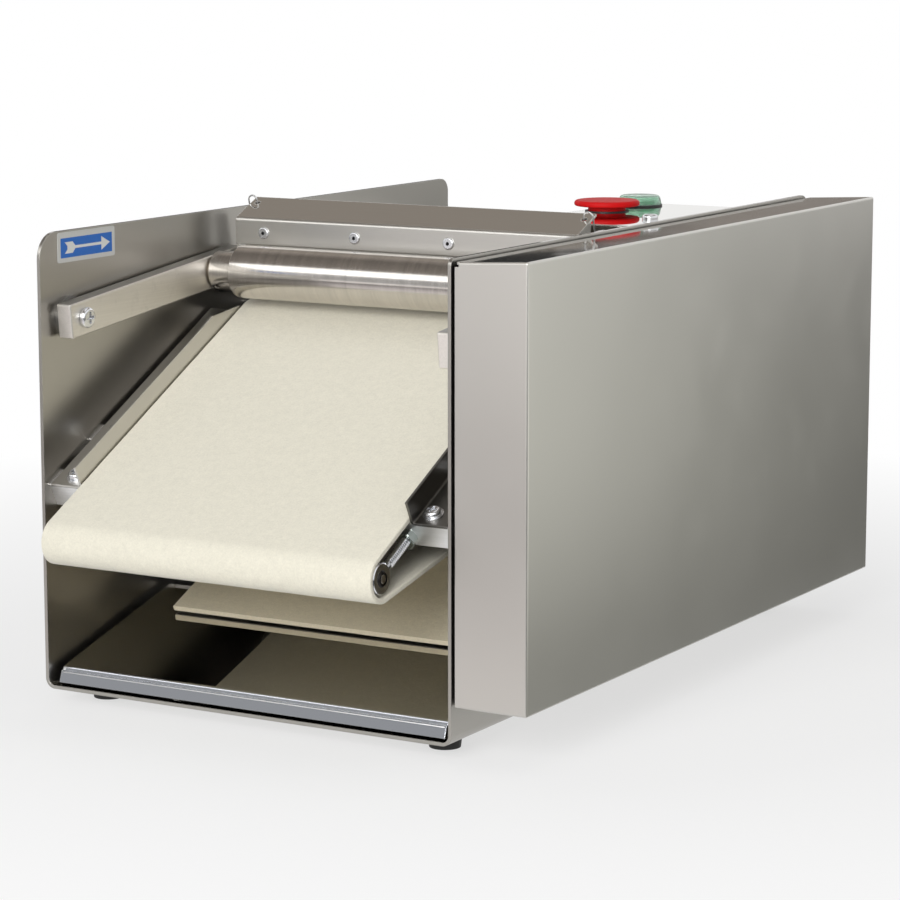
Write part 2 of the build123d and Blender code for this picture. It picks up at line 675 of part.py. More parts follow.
def drive_bearings():
    ring = rod_x(DRIVE_Y, DRIVE_Z, BEARING_RADIUS, INNER_L, INNER_L + BEARING_FLANGE)
    ring = ring + rod_x(DRIVE_Y, DRIVE_Z, BEARING_BOSS, INNER_L, INNER_L + BEARING_LENGTH)
    ring = fillet(ring.edges().filter_by(GeomType.CIRCLE).sort_by(Axis.X)[-1:], 1.0)
    ring = ring - rod_x(DRIVE_Y, DRIVE_Z, DRIVE_SHAFT / 2 + RUN_FIT, 0, INNER_L + BEARING_LENGTH + 1)
    hole = SMALL_SCREW[0] + SCREW_FIT
    cuts = [rod_x(y, z, hole, 0, INNER_L + BEARING_FLANGE + 1) for y, z in BEARING_PLACES]
    ring = ring - cuts
    return group([ring, other_side(ring)])


def nose_roller():
    side = ROD_X + BALL_WIDTH / 2
    x0 = side + NOSE_SIDE_GAP
    x1 = FRAME_WIDTH - x0
    body = rod_x(NOSE_Y, NOSE_Z, NOSE_DIA / 2, x0, x1)
    body = chamfer(body.edges().filter_by(GeomType.CIRCLE), 0.6)
    end = side - BALL_WIDTH
    return body + rod_x(NOSE_Y, NOSE_Z, NOSE_JOURNAL / 2, end, FRAME_WIDTH - end)


def rod_end(x):
    """Eye with a spherical seat and a threaded shank that points up the belt's slope."""
    eye = rod_x(NOSE_Y, NOSE_Z, EYE_DIA / 2, x - EYE_WIDTH / 2, x + EYE_WIDTH / 2)
    eye = chamfer(eye.edges().filter_by(GeomType.CIRCLE), 0.5)
    core = ROD_DIA / 2 - ROD_PITCH * 0.55
    start = EYE_DIA / 2 - 3
    neck = EYE_WIDTH / 2 - 0.1
    outline = [(0, start), (neck, start), (neck, EYE_DIA / 2), (core, ROD_NECK)]
    turns = int((ROD_LENGTH - ROD_NECK) / ROD_PITCH) - 1
    for k in range(turns):
        base = ROD_NECK + 0.3 + k * ROD_PITCH
        outline += [(core, base), (ROD_DIA / 2, base + ROD_PITCH * 0.42)]
        outline += [(ROD_DIA / 2, base + ROD_PITCH * 0.58)]
    outline += [(core, ROD_LENGTH - 0.6), (core - 0.5, ROD_LENGTH), (0, ROD_LENGTH)]
    y, z = on_run(0, 0)
    place = Plane(origin=(x, y, z), x_dir=(1, 0, 0), z_dir=(0, -sin(UP), cos(UP)))
    shank = place * revolve(make_face(Polyline(*outline, close=True)), axis=Axis.Y)
    seat = Pos(x, NOSE_Y, NOSE_Z) * Rot(0, 90, 0) * Sphere(BALL_DIA / 2 + PRESS_FIT)
    return eye + shank - seat


def rod_ends():
    return group([rod_end(ROD_X), rod_end(FRAME_WIDTH - ROD_X)])


def rod_end_balls():
    balls = []
    for x in (ROD_X, FRAME_WIDTH - ROD_X):
        ball = Pos(x, NOSE_Y, NOSE_Z) * Rot(0, 90, 0) * Sphere(BALL_DIA / 2)
        ball = ball & rod_x(NOSE_Y, NOSE_Z, BALL_DIA, x - BALL_WIDTH / 2, x + BALL_WIDTH / 2)
        bore = rod_x(NOSE_Y, NOSE_Z, NOSE_JOURNAL / 2 + RUN_FIT, x - BALL_WIDTH, x + BALL_WIDTH)
        balls.append(ball - bore)
    return group(balls)


def hex_nuts():
    nut = hex_nut(ROD_DIA / 2 + SCREW_FIT)
    nuts = []
    for x in (ROD_X, FRAME_WIDTH - ROD_X):
        nuts.append(run_along(x, BAR_FRONT - NUT_HEIGHT, 0) * nut)
        nuts.append(run_along(x, BAR_FRONT + BAR, 0) * Rot(0, 0, 20) * nut)
    nuts.append(facing(0, PIVOT_Y, PIVOT_Z, (-1, 0, 0)) * nut)
    nuts.append(facing(FRAME_WIDTH, PIVOT_Y, PIVOT_Z, (1, 0, 0)) * nut)
    return group(nuts)


def cross_bar(start, drilled):
    bar = run_block(INNER_L, INNER_R, start, start + BAR, BAR_TOP - BAR, BAR_TOP)
    bar = chamfer(bar.edges().filter_by(Axis.X), BAR_EDGE)
    y, z = on_run(start + BAR / 2, BAR_TOP - BAR / 2)
    ends = rod_x(y, z, LARGE_SCREW[0] + SCREW_FIT, INNER_L - 1, INNER_L + TIE_DEPTH + 1)
    cuts = [ends, other_side(ends)]
    for x in (GUIDE_SCREW_X, FRAME_WIDTH - GUIDE_SCREW_X):
        place = run_normal(x, start + BAR / 2, BAR_TOP)
        cuts.append(rod_along(place, SMALL_SCREW[0] + SCREW_FIT, -BAR_TAP, 1))
    if drilled:
        for x in (ROD_X, FRAME_WIDTH - ROD_X):
            cuts.append(rod_along(run_along(x, start, 0), ROD_DIA / 2 + SCREW_FIT, -1, BAR + 1))
    return bar - cuts


def bed_plate():
    x0 = BELT_X0 + BED_INSET
    x1 = BELT_X1 - BED_INSET
    return run_block(x0, x1, BED_START, RUN - BED_STOP, BAR_TOP, BAR_TOP + BED_SHEET)


def left_guide():
    """Angle beside the belt: flat leg on the cross bars, upright leg at the belt's edge."""
    points = [(GUIDE_X0, BAR_TOP), (GUIDE_X1, BAR_TOP), (GUIDE_X1, BAR_TOP + GUIDE_RISE)]
    section = sheet_face(points, GUIDE_SHEET, SHEET_BEND)
    y, z = on_run(GUIDE_FRONT, 0)
    place = Plane(origin=(0, y, z), x_dir=(1, 0, 0), z_dir=(0, -cos(UP), -sin(UP)))
    angle = extrude(place * section, amount=GUIDE_END - GUIDE_FRONT, dir=(0, cos(UP), sin(UP)))
    high = BAR_TOP + GUIDE_RISE
    trim = [on_run(GUIDE_END - GUIDE_TRIM, high), on_run(GUIDE_END, BAR_TOP + GUIDE_LOW)]
    trim += [on_run(GUIDE_END + 5, BAR_TOP + GUIDE_LOW), on_run(GUIDE_END + 5, high + 5)]
    trim += [on_run(GUIDE_END - GUIDE_TRIM, high + 5)]
    cuts = [prism(trim, GUIDE_X0 - 1, GUIDE_X1 + 1)]
    for start in BAR_STARTS:
        place = run_normal(GUIDE_SCREW_X, start + BAR / 2, BAR_TOP)
        cuts.append(rod_along(place, SMALL_SCREW[0] + SCREW_FIT, -1, GUIDE_SHEET + 1))
    return angle - cuts


def guide_screws():
    screw = pan_screw(SMALL_SCREW, GUIDE_SHEET + WASHER_SHEET + 4)
    washer = Cylinder(GUIDE_WASHER, WASHER_SHEET)
    screw = Pos(0, 0, WASHER_SHEET) * screw + Pos(0, 0, WASHER_SHEET / 2) * washer
    screws = []
    for start in BAR_STARTS:
        for x in (GUIDE_SCREW_X, FRAME_WIDTH - GUIDE_SCREW_X):
            screws.append(run_normal(x, start + BAR / 2, BAR_TOP + GUIDE_SHEET) * screw)
    return group(screws)


def steel_roller():
    """Solid roller with shoulders beside the arms and a long journal for its gear."""
    x0 = INNER_L + ROLLER_END_GAP
    shoulder = ARM_X1 + BUSH_FLANGE + SIDE_PLAY
    body = rod_x(UPPER_Y, UPPER_Z, ROLLER_DIA / 2, x0, FRAME_WIDTH - x0)
    body = chamfer(body.edges().filter_by(GeomType.CIRCLE), 0.8)
    neck = rod_x(UPPER_Y, UPPER_Z, SHOULDER_DIA / 2, shoulder, FRAME_WIDTH - shoulder)
    neck = chamfer(neck.edges().filter_by(GeomType.CIRCLE), 0.6)
    roller = body + neck + rod_x(UPPER_Y, UPPER_Z, JOURNAL_DIA / 2, ARM_X0 + 0.4, SHAFT_END)
    way = (0, cos(radians(GRUB_ANGLE)), sin(radians(GRUB_ANGLE)))
    place = Plane(origin=(shoulder + GRUB_ALONG, UPPER_Y, UPPER_Z), z_dir=way)
    hole = rod_along(place, GRUB_RADIUS, SHOULDER_DIA / 2 - GRUB_DEPTH, SHOULDER_DIA / 2 + 2)
    return roller - [hole, other_side(hole)]


def left_arm():
    front = -ARM_FRONT
    rear = ARM_ROLLER + ARM_REAR
    half = ARM_HEIGHT / 2
    points = [on_arm(front, -half), on_arm(rear, -half), on_arm(rear, half), on_arm(front, half)]
    arm = prism(points, ARM_X0, ARM_X1)
    arm = chamfer(arm.edges(), ARM_EDGE)
    cuts = [rod_x(PIVOT_Y, PIVOT_Z, PIVOT_DIA / 2 + RUN_FIT, 0, ARM_X1 + 1)]
    cuts += [rod_x(UPPER_Y, UPPER_Z, BUSH_RADIUS + PRESS_FIT, 0, ARM_X1 + 1)]
    y, z = HOOD_SCREW_PLACE
    cuts += [rod_x(y, z, SMALL_SCREW[0] + SCREW_FIT, ARM_X0 - 1, ARM_X1 + 1)]
    return arm - cuts


def arm_bushes():
    bush = rod_x(UPPER_Y, UPPER_Z, BUSH_RADIUS, ARM_X0, ARM_X1)
    bush = bush + rod_x(UPPER_Y, UPPER_Z, BUSH_RADIUS + 2, ARM_X1, ARM_X1 + BUSH_FLANGE)
    bush = bush - rod_x(UPPER_Y, UPPER_Z, JOURNAL_DIA / 2 + RUN_FIT, 0, ARM_X1 + 5)
    return group([bush, other_side(bush)])


def pivot_screws():
    """Shoulder screw: pan head inside, smooth shoulder through the arm, thread through the panel."""
    shank, head, height = LARGE_SCREW
    reach = ARM_X1 + SIDE_PLAY
    screw = pan_screw((PIVOT_DIA / 2, head, height), reach - INNER_L)
    screw = facing(reach, PIVOT_Y, PIVOT_Z, (1, 0, 0)) * screw
    screw = screw + rod_x(PIVOT_Y, PIVOT_Z, ROD_DIA / 2, -NUT_HEIGHT - 1.2, INNER_L + 1)
    return group([screw, other_side(screw)])


def pivot_spacers():
    disc = rod_x(PIVOT_Y, PIVOT_Z, SPACER_RADIUS, INNER_L, INNER_L + ARM_SPACER)
    disc = disc - rod_x(PIVOT_Y, PIVOT_Z, PIVOT_DIA / 2 + SCREW_FIT, 0, ARM_X1)
    return group([disc, other_side(disc)])


def stop_pins():
    y, z = STOP_PLACE
    pin = rod_x(y, z, STOP_RADIUS, 0, ARM_X1)
    return group([pin, other_side(pin)])


def spring_pins():
    head = PIN_RADIUS + 1.5
    end = INNER_L + PIN_LENGTH
    pin = rod_x(PIN_PLACE.Y, PIN_PLACE.Z, PIN_RADIUS, 0, end)
    pin = pin + rod_x(PIN_PLACE.Y, PIN_PLACE.Z, head, end - 1.8, end)
    return group([pin, other_side(pin)])


def hood():
    """Folded sheet with an upright face and a sloped top, held at two end tabs."""
    x0 = HOOD_X0
    x1 = FRAME_WIDTH - HOOD_X0
    points = [(HOOD_Y, UPPER_Z + HOOD_LOW), (HOOD_Y, HOOD_BEND_Z), (RIDGE_Y, RIDGE_Z)]
    sheet = folded(points, -HOOD_SHEET, SHEET_BEND, x0, x1)
    y0 = HOOD_Y + HOOD_SHEET - 0.3
    y1 = HOOD_Y + HOOD_TAB
    under = HOOD_BEND_Z - HOOD_SHEET * 0.7 / cos(HOOD_RAKE)
    low = HOOD_SCREW_PLACE[1] - HOOD_TAB_LOW
    rise = tan(HOOD_RAKE)
    tab = [(y0, low), (y1, low), (y1, under + (y1 - HOOD_Y) * rise), (y0, under + (y0 - HOOD_Y) * rise)]
    tab = prism(tab, x0, x0 + HOOD_SHEET)
    y, z = HOOD_SCREW_PLACE
    tab = tab - rod_x(y, z, SMALL_SCREW[0] + SCREW_FIT, x0 - 1, x0 + HOOD_SHEET + 1)
    sheet = sheet + tab + other_side(tab)
    hole = on_spring(SPRING_RADIUS + 2 * HOOK_RADIUS, 0, HOOK_BEND)
    hole = rod_along(Plane(origin=hole, z_dir=SPRING_UP), SPRING_WIRE / 2 + 1.5, -5, 5)
    cuts = [hole, other_side(hole)]
    for x in RIVET_PLACES:
        cuts.append(rod_y(x, UPPER_Z + RIVET_RISE, RIVET_RADIUS + PRESS_FIT, HOOD_Y - 1, HOOD_Y + 3))
    return sheet - cuts


def scraper_blade():
    back = HOOD_Y + HOOD_SHEET
    reach = ROLLER_DIA / 2 + ROLL_CLEAR + 0.05
    lean = radians(BLADE_LEAN)
    tip = (UPPER_Y + reach * cos(lean), UPPER_Z + reach * sin(lean))
    points = [(back, UPPER_Z + BLADE_TOP), (back, UPPER_Z + BLADE_BEND), tip]
    x0 = HOOD_X0 + BLADE_INSET
    blade = folded(points, BLADE_SHEET, SHEET_BEND, x0, FRAME_WIDTH - x0)
    hole = RIVET_RADIUS + PRESS_FIT
    cuts = [rod_y(x, UPPER_Z + RIVET_RISE, hole, back - 1, back + 3) for x in RIVET_PLACES]
    return blade - cuts


def hood_rivets():
    back = HOOD_Y + HOOD_SHEET + BLADE_SHEET
    rivets = []
    for x in RIVET_PLACES:
        z = UPPER_Z + RIVET_RISE
        head = rod_y(x, z, RIVET_HEAD, HOOD_Y - RIVET_PROUD, HOOD_Y)
        head = fillet(head.edges().filter_by(GeomType.CIRCLE).sort_by(Axis.Y)[:1], RIVET_ROUND)
        rivet = head + rod_y(x, z, RIVET_RADIUS, HOOD_Y, back)
        rivet = rivet + rod_y(x, z, RIVET_TAIL, back, back + RIVET_TAIL_LENGTH)
        rivets.append(rivet - rod_y(x, z, RIVET_HOLE, HOOD_Y - 2, HOOD_Y + RIVET_HOLE_DEPTH))
    return group(rivets)


def hood_spacers():
    y, z = HOOD_SCREW_PLACE
    ring = rod_x(y, z, HOOD_SPACER, ARM_X1, HOOD_X0)
    ring = ring - rod_x(y, z, SMALL_SCREW[0] + SCREW_FIT, 0, HOOD_X0 + 1)
    return group([ring, other_side(ring)])


def hood_screws():
    y, z = HOOD_SCREW_PLACE
    length = HOOD_X0 + HOOD_SHEET - ARM_X0 - 1
    screw = facing(HOOD_X0 + HOOD_SHEET, y, z, (1, 0, 0)) * pan_screw(SMALL_SCREW, length)
    return group([screw, other_side(screw)])


def joined_arcs(start, start_way, end, end_way):
    """Straight line, or two arcs, that leave and arrive along the given directions."""
    chord = end - start
    if chord.cross(start_way).length < 1e-6 and chord.cross(end_way).length < 1e-6:
        return [Edge.make_line(start, end)]
    both = start_way + end_way
    spread = 2 * (1 - start_way.dot(end_way))
    along = chord.dot(both)
    if spread < 1e-9:
        reach = chord.dot(chord) / (4 * chord.dot(end_way))
    else:
        reach = (sqrt(along * along + spread * chord.dot(chord)) - along) / spread
    middle = (start + start_way * reach + end - end_way * reach) * 0.5
    first = Edge.make_tangent_arc(start, start_way, middle)
    return [first, Edge.make_tangent_arc(middle, first % 1, end)]


def spring_stations():
    """Points and directions along the wire, from the hook on the pin to the hook in the hood."""
    r = SPRING_RADIUS
    centre = PIN_RADIUS + PIN_SLACK - r + SPRING_WIRE / 2
    low = -SPRING_SPAN - centre
    foot = -SPRING_SPAN + COIL_FOOT
    head = -COIL_TOP
    pitch = (head - foot) / (SPRING_TURNS + 0.75)
    b = HOOK_BEND
    stations = [(on_spring(b, low + 3, -r), spring_way(0, -1, 0))]
    stations.append((on_spring(b, low, -r), spring_way(0, -1, 0)))
    stations.append((on_spring(b, low - r, 0), spring_way(0, 0, 1)))
    stations.append((on_spring(b, low, r), spring_way(0, 1, 0)))
    stations.append((on_spring(b, foot - b, r), spring_way(0, 1, 0)))
    for k in range(4 * SPRING_TURNS + 4):
        angle = pi / 2 + k * pi / 2
        place = on_spring(r * cos(angle), foot + pitch * k / 4, r * sin(angle))
        stations.append((place, spring_way(-r * sin(angle), pitch / (2 * pi), r * cos(angle))))
    h = HOOK_RADIUS
    stations.append((on_spring(r, head + b, b), spring_way(0, 1, 0)))
    stations.append((on_spring(r, HOOK_RISE, b), spring_way(0, 1, 0)))
    stations.append((on_spring(r + h, HOOK_RISE + h, b), spring_way(1, 0, 0)))
    stations.append((on_spring(r + 2 * h, HOOK_RISE, b), spring_way(0, -1, 0)))
    stations.append((on_spring(r + 2 * h, -3, b), spring_way(0, -1, 0)))
    return stations


def spring_edges():
    stations = spring_stations()
    edges = []
    for (a, a_way), (b, b_way) in zip(stations, stations[1:]):
        edges += joined_arcs(a, a_way, b, b_way)
    return edges


def left_spring():
    edges = spring_edges()
    path = Wire(edges)
    start, way = spring_stations()[0]
    section = Plane(origin=start, z_dir=way) * Circle(SPRING_WIRE / 2)
    return sweep(section, path=path)


def spring_gap():
    """Least gap of the wire to itself, between points more than a third of a turn apart."""
    points = []
    travelled = 0.0
    for edge in spring_edges():
        count = max(3, int(edge.length / 0.5))
        for k in range(count):
            points.append((edge @ (k / count), travelled + edge.length * k / count))
        travelled += edge.length
    least = 1e9
    for i, (p, a) in enumerate(points):
        for q, b in points[i + 1:i + 160]:
            if b - a > 2.1 * SPRING_RADIUS:
                least = min(least, (p - q).length)
    return least - SPRING_WIRE, travelled


def gear(teeth, phase, y, z, bore, hub):
    """Spur gear with one tooth centred on the phase angle, in radians from Y towards Z."""
    pitch = GEAR_MODULE * teeth / 2
    base = pitch * cos(radians(PRESSURE_ANGLE))
    tip = pitch + GEAR_MODULE * 0.95
    root = pitch - GEAR_MODULE * 1.25

    def involute(radius):
        angle = acos(base / radius)
        return tan(angle) - angle

    wide = (pi * GEAR_MODULE / 2 - TOOTH_SLACK) / (2 * pitch) + involute(pitch)
    low = max(root, base + 0.02)
    middle = (low + tip) / 2

    def spot(radius, angle):
        return (radius * cos(angle), radius * sin(angle))

    edges = []
    for k in range(teeth):
        at = phase + 2 * pi * k / teeth
        after = phase + 2 * pi * (k + 1) / teeth
        half_low = wide - involute(low)
        half_mid = wide - involute(middle)
        half_tip = wide - involute(tip)
        if low > root:
            edges.append(Line(spot(root, at - half_low), spot(low, at - half_low)))
            edges.append(Line(spot(low, at + half_low), spot(root, at + half_low)))
        rise = [spot(low, at - half_low), spot(middle, at - half_mid), spot(tip, at - half_tip)]
        land = [spot(tip, at - half_tip), spot(tip, at), spot(tip, at + half_tip)]
        fall = [spot(tip, at + half_tip), spot(middle, at + half_mid), spot(low, at + half_low)]
        floor = [spot(root, at + half_low), spot(root, (at + after) / 2), spot(root, after - half_low)]
        edges += [ThreePointArc(*points) for points in (rise, land, fall, floor)]
    outline = make_face(edges)
    wheel = extrude(Plane.YZ.offset(GEAR_X0) * Pos(y, z, 0) * outline, amount=GEAR_FACE, dir=(1, 0, 0))
    wheel = wheel + rod_x(y, z, hub, GEAR_X0 - 2, GEAR_X1)
    return wheel - rod_x(y, z, bore, GEAR_X0 - 5, GEAR_X1 + 5)


def meshed(phase, teeth, other_teeth, direction):
    """Phase of a gear whose tooth gap meets a tooth of the first gear, along the direction."""
    return direction + pi - (phase - direction) * teeth / other_teeth + pi / other_teeth


DRIVE_PHASE = 0.0
UPPER_PHASE = meshed(DRIVE_PHASE, DRIVE_TEETH, UPPER_TEETH, radians(90 + NIP_LEAN))
IDLER_PHASE = meshed(DRIVE_PHASE, DRIVE_TEETH, IDLER_TEETH, radians(IDLER_ANGLE))
MOTOR_PHASE = meshed(IDLER_PHASE, IDLER_TEETH, MOTOR_TEETH, radians(MOTOR_ANGLE))


def drive_gear():
    wheel = gear(DRIVE_TEETH, DRIVE_PHASE, DRIVE_Y, DRIVE_Z, DRIVE_SHAFT / 2 + PRESS_FIT, DRIVE_HUB)
    cuts = []
    for k in range(GEAR_HOLES):
        angle = 2 * pi * k / GEAR_HOLES
        y = DRIVE_Y + GEAR_HOLE_RING * cos(angle)
        z = DRIVE_Z + GEAR_HOLE_RING * sin(angle)
        cuts.append(rod_x(y, z, GEAR_HOLE, GEAR_X0 - 5, GEAR_X1 + 5))
    return wheel - cuts


def upper_gear():
    return gear(UPPER_TEETH, UPPER_PHASE, UPPER_Y, UPPER_Z, JOURNAL_DIA / 2 + PRESS_FIT, UPPER_HUB)


def idler_gear():
    return gear(IDLER_TEETH, IDLER_PHASE, IDLER_Y, IDLER_Z, IDLER_PIN / 2 + RUN_FIT, IDLER_HUB)


def motor_pinion():
    return gear(MOTOR_TEETH, MOTOR_PHASE, MOTOR_Y, MOTOR_Z, MOTOR_SHAFT / 2 + PRESS_FIT, MOTOR_HUB)


def idler_axle():
    radius = IDLER_PIN / 2
    stop = GEAR_X1 + SIDE_PLAY
    axle = rod_x(IDLER_Y, IDLER_Z, radius, INNER_R, stop)
    axle = axle + rod_x(IDLER_Y, IDLER_Z, IDLER_SEAT, FRAME_WIDTH, FRAME_WIDTH + IDLER_SEAT_LENGTH)
    axle = axle + rod_x(IDLER_Y, IDLER_Z, IDLER_RING, stop, stop + IDLER_RING_LENGTH)
    return axle + rod_x(IDLER_Y, IDLER_Z, IDLER_TIP, stop, SHAFT_END)


def motor_shaft():
    return rod_x(MOTOR_Y, MOTOR_Z, MOTOR_SHAFT / 2, INNER_R - GEARBOX_BORE + 1, SHAFT_END)


def gearbox():
    h = GEARBOX_HALF
    body = block(INNER_R - GEARBOX_LENGTH, INNER_R, MOTOR_Y - h, MOTOR_Y + h, MOTOR_Z - h, MOTOR_Z + h)
    body = fillet(body.edges().filter_by(Axis.X), GEARBOX_CORNER)
    cuts = [rod_x(MOTOR_Y, MOTOR_Z, MOTOR_SHAFT / 2 + RUN_FIT, INNER_R - GEARBOX_BORE, INNER_R + 1)]
    tap = LARGE_SCREW[0] + SCREW_FIT
    cuts += [rod_x(y, z, tap, INNER_R - GEARBOX_TAP, INNER_R + 1) for y, z in MOTOR_PLACES]
    return body - cuts


def motor():
    """Finned motor body with a smooth rear bell and a terminal box on its back."""
    x1 = INNER_R - GEARBOX_LENGTH
    x0 = x1 - MOTOR_LENGTH
    r = MOTOR_RADIUS
    core = r - FIN_DEPTH
    face = x1 - MOTOR_FACE
    outline = [(x1, 0), (x1, r), (face, r), (face, core)]
    for k in range(FIN_COUNT):
        a = x1 - FIN_START - k * FIN_STEP
        outline += [(a, core), (a, r), (a - FIN_WIDTH, r), (a - FIN_WIDTH, core)]
    bell = x0 + MOTOR_BELL
    outline += [(bell, core), (bell, r), (x0 + MOTOR_EDGE, r), (x0, r - MOTOR_EDGE), (x0, 0)]
    body = revolve(make_face(Polyline(*outline, close=True)), axis=Axis.X)
    body = Pos(0, MOTOR_Y, MOTOR_Z) * body
    box_x1 = x1 - TERMINAL_START
    box_x0 = box_x1 - TERMINAL_LENGTH
    y0 = MOTOR_Y + TERMINAL_SUNK
    y1 = MOTOR_Y + r + TERMINAL_PROUD
    return body + block(box_x0, box_x1, y0, y1, MOTOR_Z - TERMINAL_HALF, MOTOR_Z + TERMINAL_HALF)


def motor_screws():
    screw = pan_screw(LARGE_SCREW, SHEET + GEARBOX_TAP - SCREW_PAST / 2)
    return group([facing(FRAME_WIDTH, y, z, (1, 0, 0)) * screw for y, z in MOTOR_PLACES])


def tie_screws():
    screw = pan_screw(LARGE_SCREW, SHEET + TIE_DEPTH)
    left = [facing(0, y, z, (-1, 0, 0)) * screw for y, z in TIE_PLACES]
    return group(left + [facing(FRAME_WIDTH, y, z, (1, 0, 0)) * screw for y, z in TIE_PLACES])


def board_line():
    front = on_board(0, 0)
    corner = front[1] + (BOARD_WALL_Y - front[0]) * tan(BOARD_RAKE)
    return [front, (BOARD_WALL_Y, corner), (BOARD_WALL_Y, DRIVE_Z + BOARD_TOP)]


def forming_felt():
    return folded(board_line(), BOARD_FELT, BOARD_BEND, BOARD_X0, BOARD_X1)


def forming_board():
    return folded(board_line(), -BOARD_SHEET, BOARD_BEND + BOARD_FELT, BOARD_X0, BOARD_X1)


def board_bars():
    """One bar under the board's slope and one behind its upright part, from panel to panel."""
    a = BOARD_BAR_ALONG - BOARD_BAR / 2
    b = BOARD_BAR_ALONG + BOARD_BAR / 2
    u = -BOARD_SHEET
    v = -BOARD_SHEET - BOARD_BAR
    slope = prism([on_board(a, u), on_board(b, u), on_board(b, v), on_board(a, v)], INNER_L, INNER_R)
    y1 = BOARD_POST_Y + BOARD_BAR
    post = block(INNER_L, INNER_R, BOARD_POST_Y, y1, BOARD_POST_Z, BOARD_POST_Z + BOARD_BAR)
    bars = []
    for bar, (y, z) in zip((slope, post), TIE_PLACES[2:]):
        end = rod_x(y, z, LARGE_SCREW[0] + SCREW_FIT, INNER_L - 1, INNER_L + TIE_DEPTH + 1)
        bars.append(bar - end - other_side(end))
    return group(bars)


def chute():
    """Folded discharge tray: hemmed front lip, slope, rear leg and a foot on the frame floor."""
    rake = radians(CHUTE_SLOPE)
    lean = radians(CHUTE_LIP_LEAN)
    front = (CHUTE_FRONT, FLOOR + CHUTE_RISE)
    lip = (front[0] - CHUTE_LIP * sin(lean), front[1] - CHUTE_LIP * cos(lean))
    back = (front[0] + CHUTE_RUN, front[1] + CHUTE_RUN * tan(rake))
    foot = FLOOR_TOP + CHUTE_SHEET
    points = [lip, front, back, (back[0], foot), (back[0] + CHUTE_FOOT, foot)]
    x0 = INNER_L + CHUTE_SIDE_GAP
    x1 = INNER_R - CHUTE_SIDE_GAP
    tray = folded(points, -CHUTE_SHEET, SHEET_BEND, x0, x1)
    down = (-sin(lean), -cos(lean))
    out = (-cos(lean), sin(lean))
    corners = [(CHUTE_HEM, -0.2), (CHUTE_LIP, -0.2), (CHUTE_LIP, CHUTE_SHEET), (CHUTE_HEM, CHUTE_SHEET)]
    hem = []
    for along, proud in corners:
        y = front[0] + along * down[0] + proud * out[0]
        z = front[1] + along * down[1] + proud * out[1]
        hem.append((y, z))
    return tray + prism(hem, x0, x1)


def transmission_cover():
    """Tall tray over the gears, open towards the right panel; its top rises a little outwards."""
    t = COVER_SHEET
    high = COVER_Z1 + COVER_RISE
    slope = COVER_RISE / COVER_WIDTH
    outline = [(COVER_X0, COVER_Z0), (COVER_X1, COVER_Z0), (COVER_X1, high), (COVER_X0, COVER_Z1)]
    cover = upright(outline, 0, FRAME_DEPTH)
    ends = cover.faces().sort_by(Axis.Y)
    folds = list(cover.faces().sort_by(Axis.X)[-1].edges())
    for end in (ends[0], ends[-1]):
        folds += [edge for edge in end.edges() if COVER_X0 + t < edge.center().X < COVER_X1 - t]
    cover = fillet(folds, COVER_EDGE)
    inner = [(COVER_X0 - 1, COVER_Z0 + t), (COVER_X1 - t, COVER_Z0 + t)]
    inner += [(COVER_X1 - t, high - t - slope * t), (COVER_X0 - 1, COVER_Z1 - t - slope)]
    cover = cover - upright(inner, t, FRAME_DEPTH - t)
    cuts = [block(COVER_X0 - 1, COVER_X0 + RELIEF, -1, RELIEF, COVER_Z1 - RELIEF, COVER_Z1 + 1)]
    hole = SMALL_SCREW[0] + SCREW_FIT
    for y in COVER_FOOT_PLACES:
        cuts.append(rod_z(COVER_SCREW_X, y, hole, COVER_Z0 - 1, COVER_Z0 + t + 1))
    for z in COVER_BACK_PLACES:
        cuts.append(rod_y(COVER_SCREW_X, z, hole, FRAME_DEPTH - t - 1, FRAME_DEPTH + 1))
    return cover - cuts


def brackets():
    """Angles on the panels that the covers and the switch shelf are screwed to."""
    t = BRACKET_SHEET
    w = BRACKET_WIDTH / 2
    hole = SMALL_SCREW[0] + SCREW_FIT
    x1 = FRAME_WIDTH + COVER_BRACKET
    made = []
    z0 = COVER_Z0 + COVER_SHEET
    for y in COVER_FOOT_PLACES:
        angle = block(FRAME_WIDTH, x1, y - w, y + w, z0, z0 + t)
        angle = angle + block(FRAME_WIDTH, FRAME_WIDTH + t, y - w, y + w, z0, z0 + BRACKET_LEG)
        made.append(angle - rod_z(COVER_SCREW_X, y, hole, z0 - 1, z0 + t + 1))
    y1 = FRAME_DEPTH - COVER_SHEET
    for z in COVER_BACK_PLACES:
        angle = block(FRAME_WIDTH, x1, y1 - t, y1, z - w, z + w)
        angle = angle + block(FRAME_WIDTH, FRAME_WIDTH + t, y1 - BRACKET_LEG, y1, z - w, z + w)
        made.append(angle - rod_y(COVER_SCREW_X, z, hole, y1 - t - 1, y1 + 1))
    z1 = PANEL_Z - TOP_SHEET
    for x, y in TOP_PLACES[:2]:
        angle = block(INNER_L, INNER_L + TOP_BRACKET, y - w, y + w, z1 - t, z1)
        angle = angle + block(INNER_L, INNER_L + t, y - w, y + w, z1 - BRACKET_LEG, z1)
        angle = angle - rod_z(x, y, hole, z1 - t - 1, z1 + 1)
        made += [angle, other_side(angle)]
    x, y = SHELF_PLACE
    z1 = SHELF_Z - TOP_SHEET
    angle = block(INNER_R - SHELF_BRACKET, INNER_R, y - w, y + w, z1 - t, z1)
    angle = angle + block(INNER_R - t, INNER_R, y - w, y + w, z1 - BRACKET_LEG, z1)
    made.append(angle - rod_z(x, y, hole, z1 - t - 1, z1 + 1))
    return group(made)


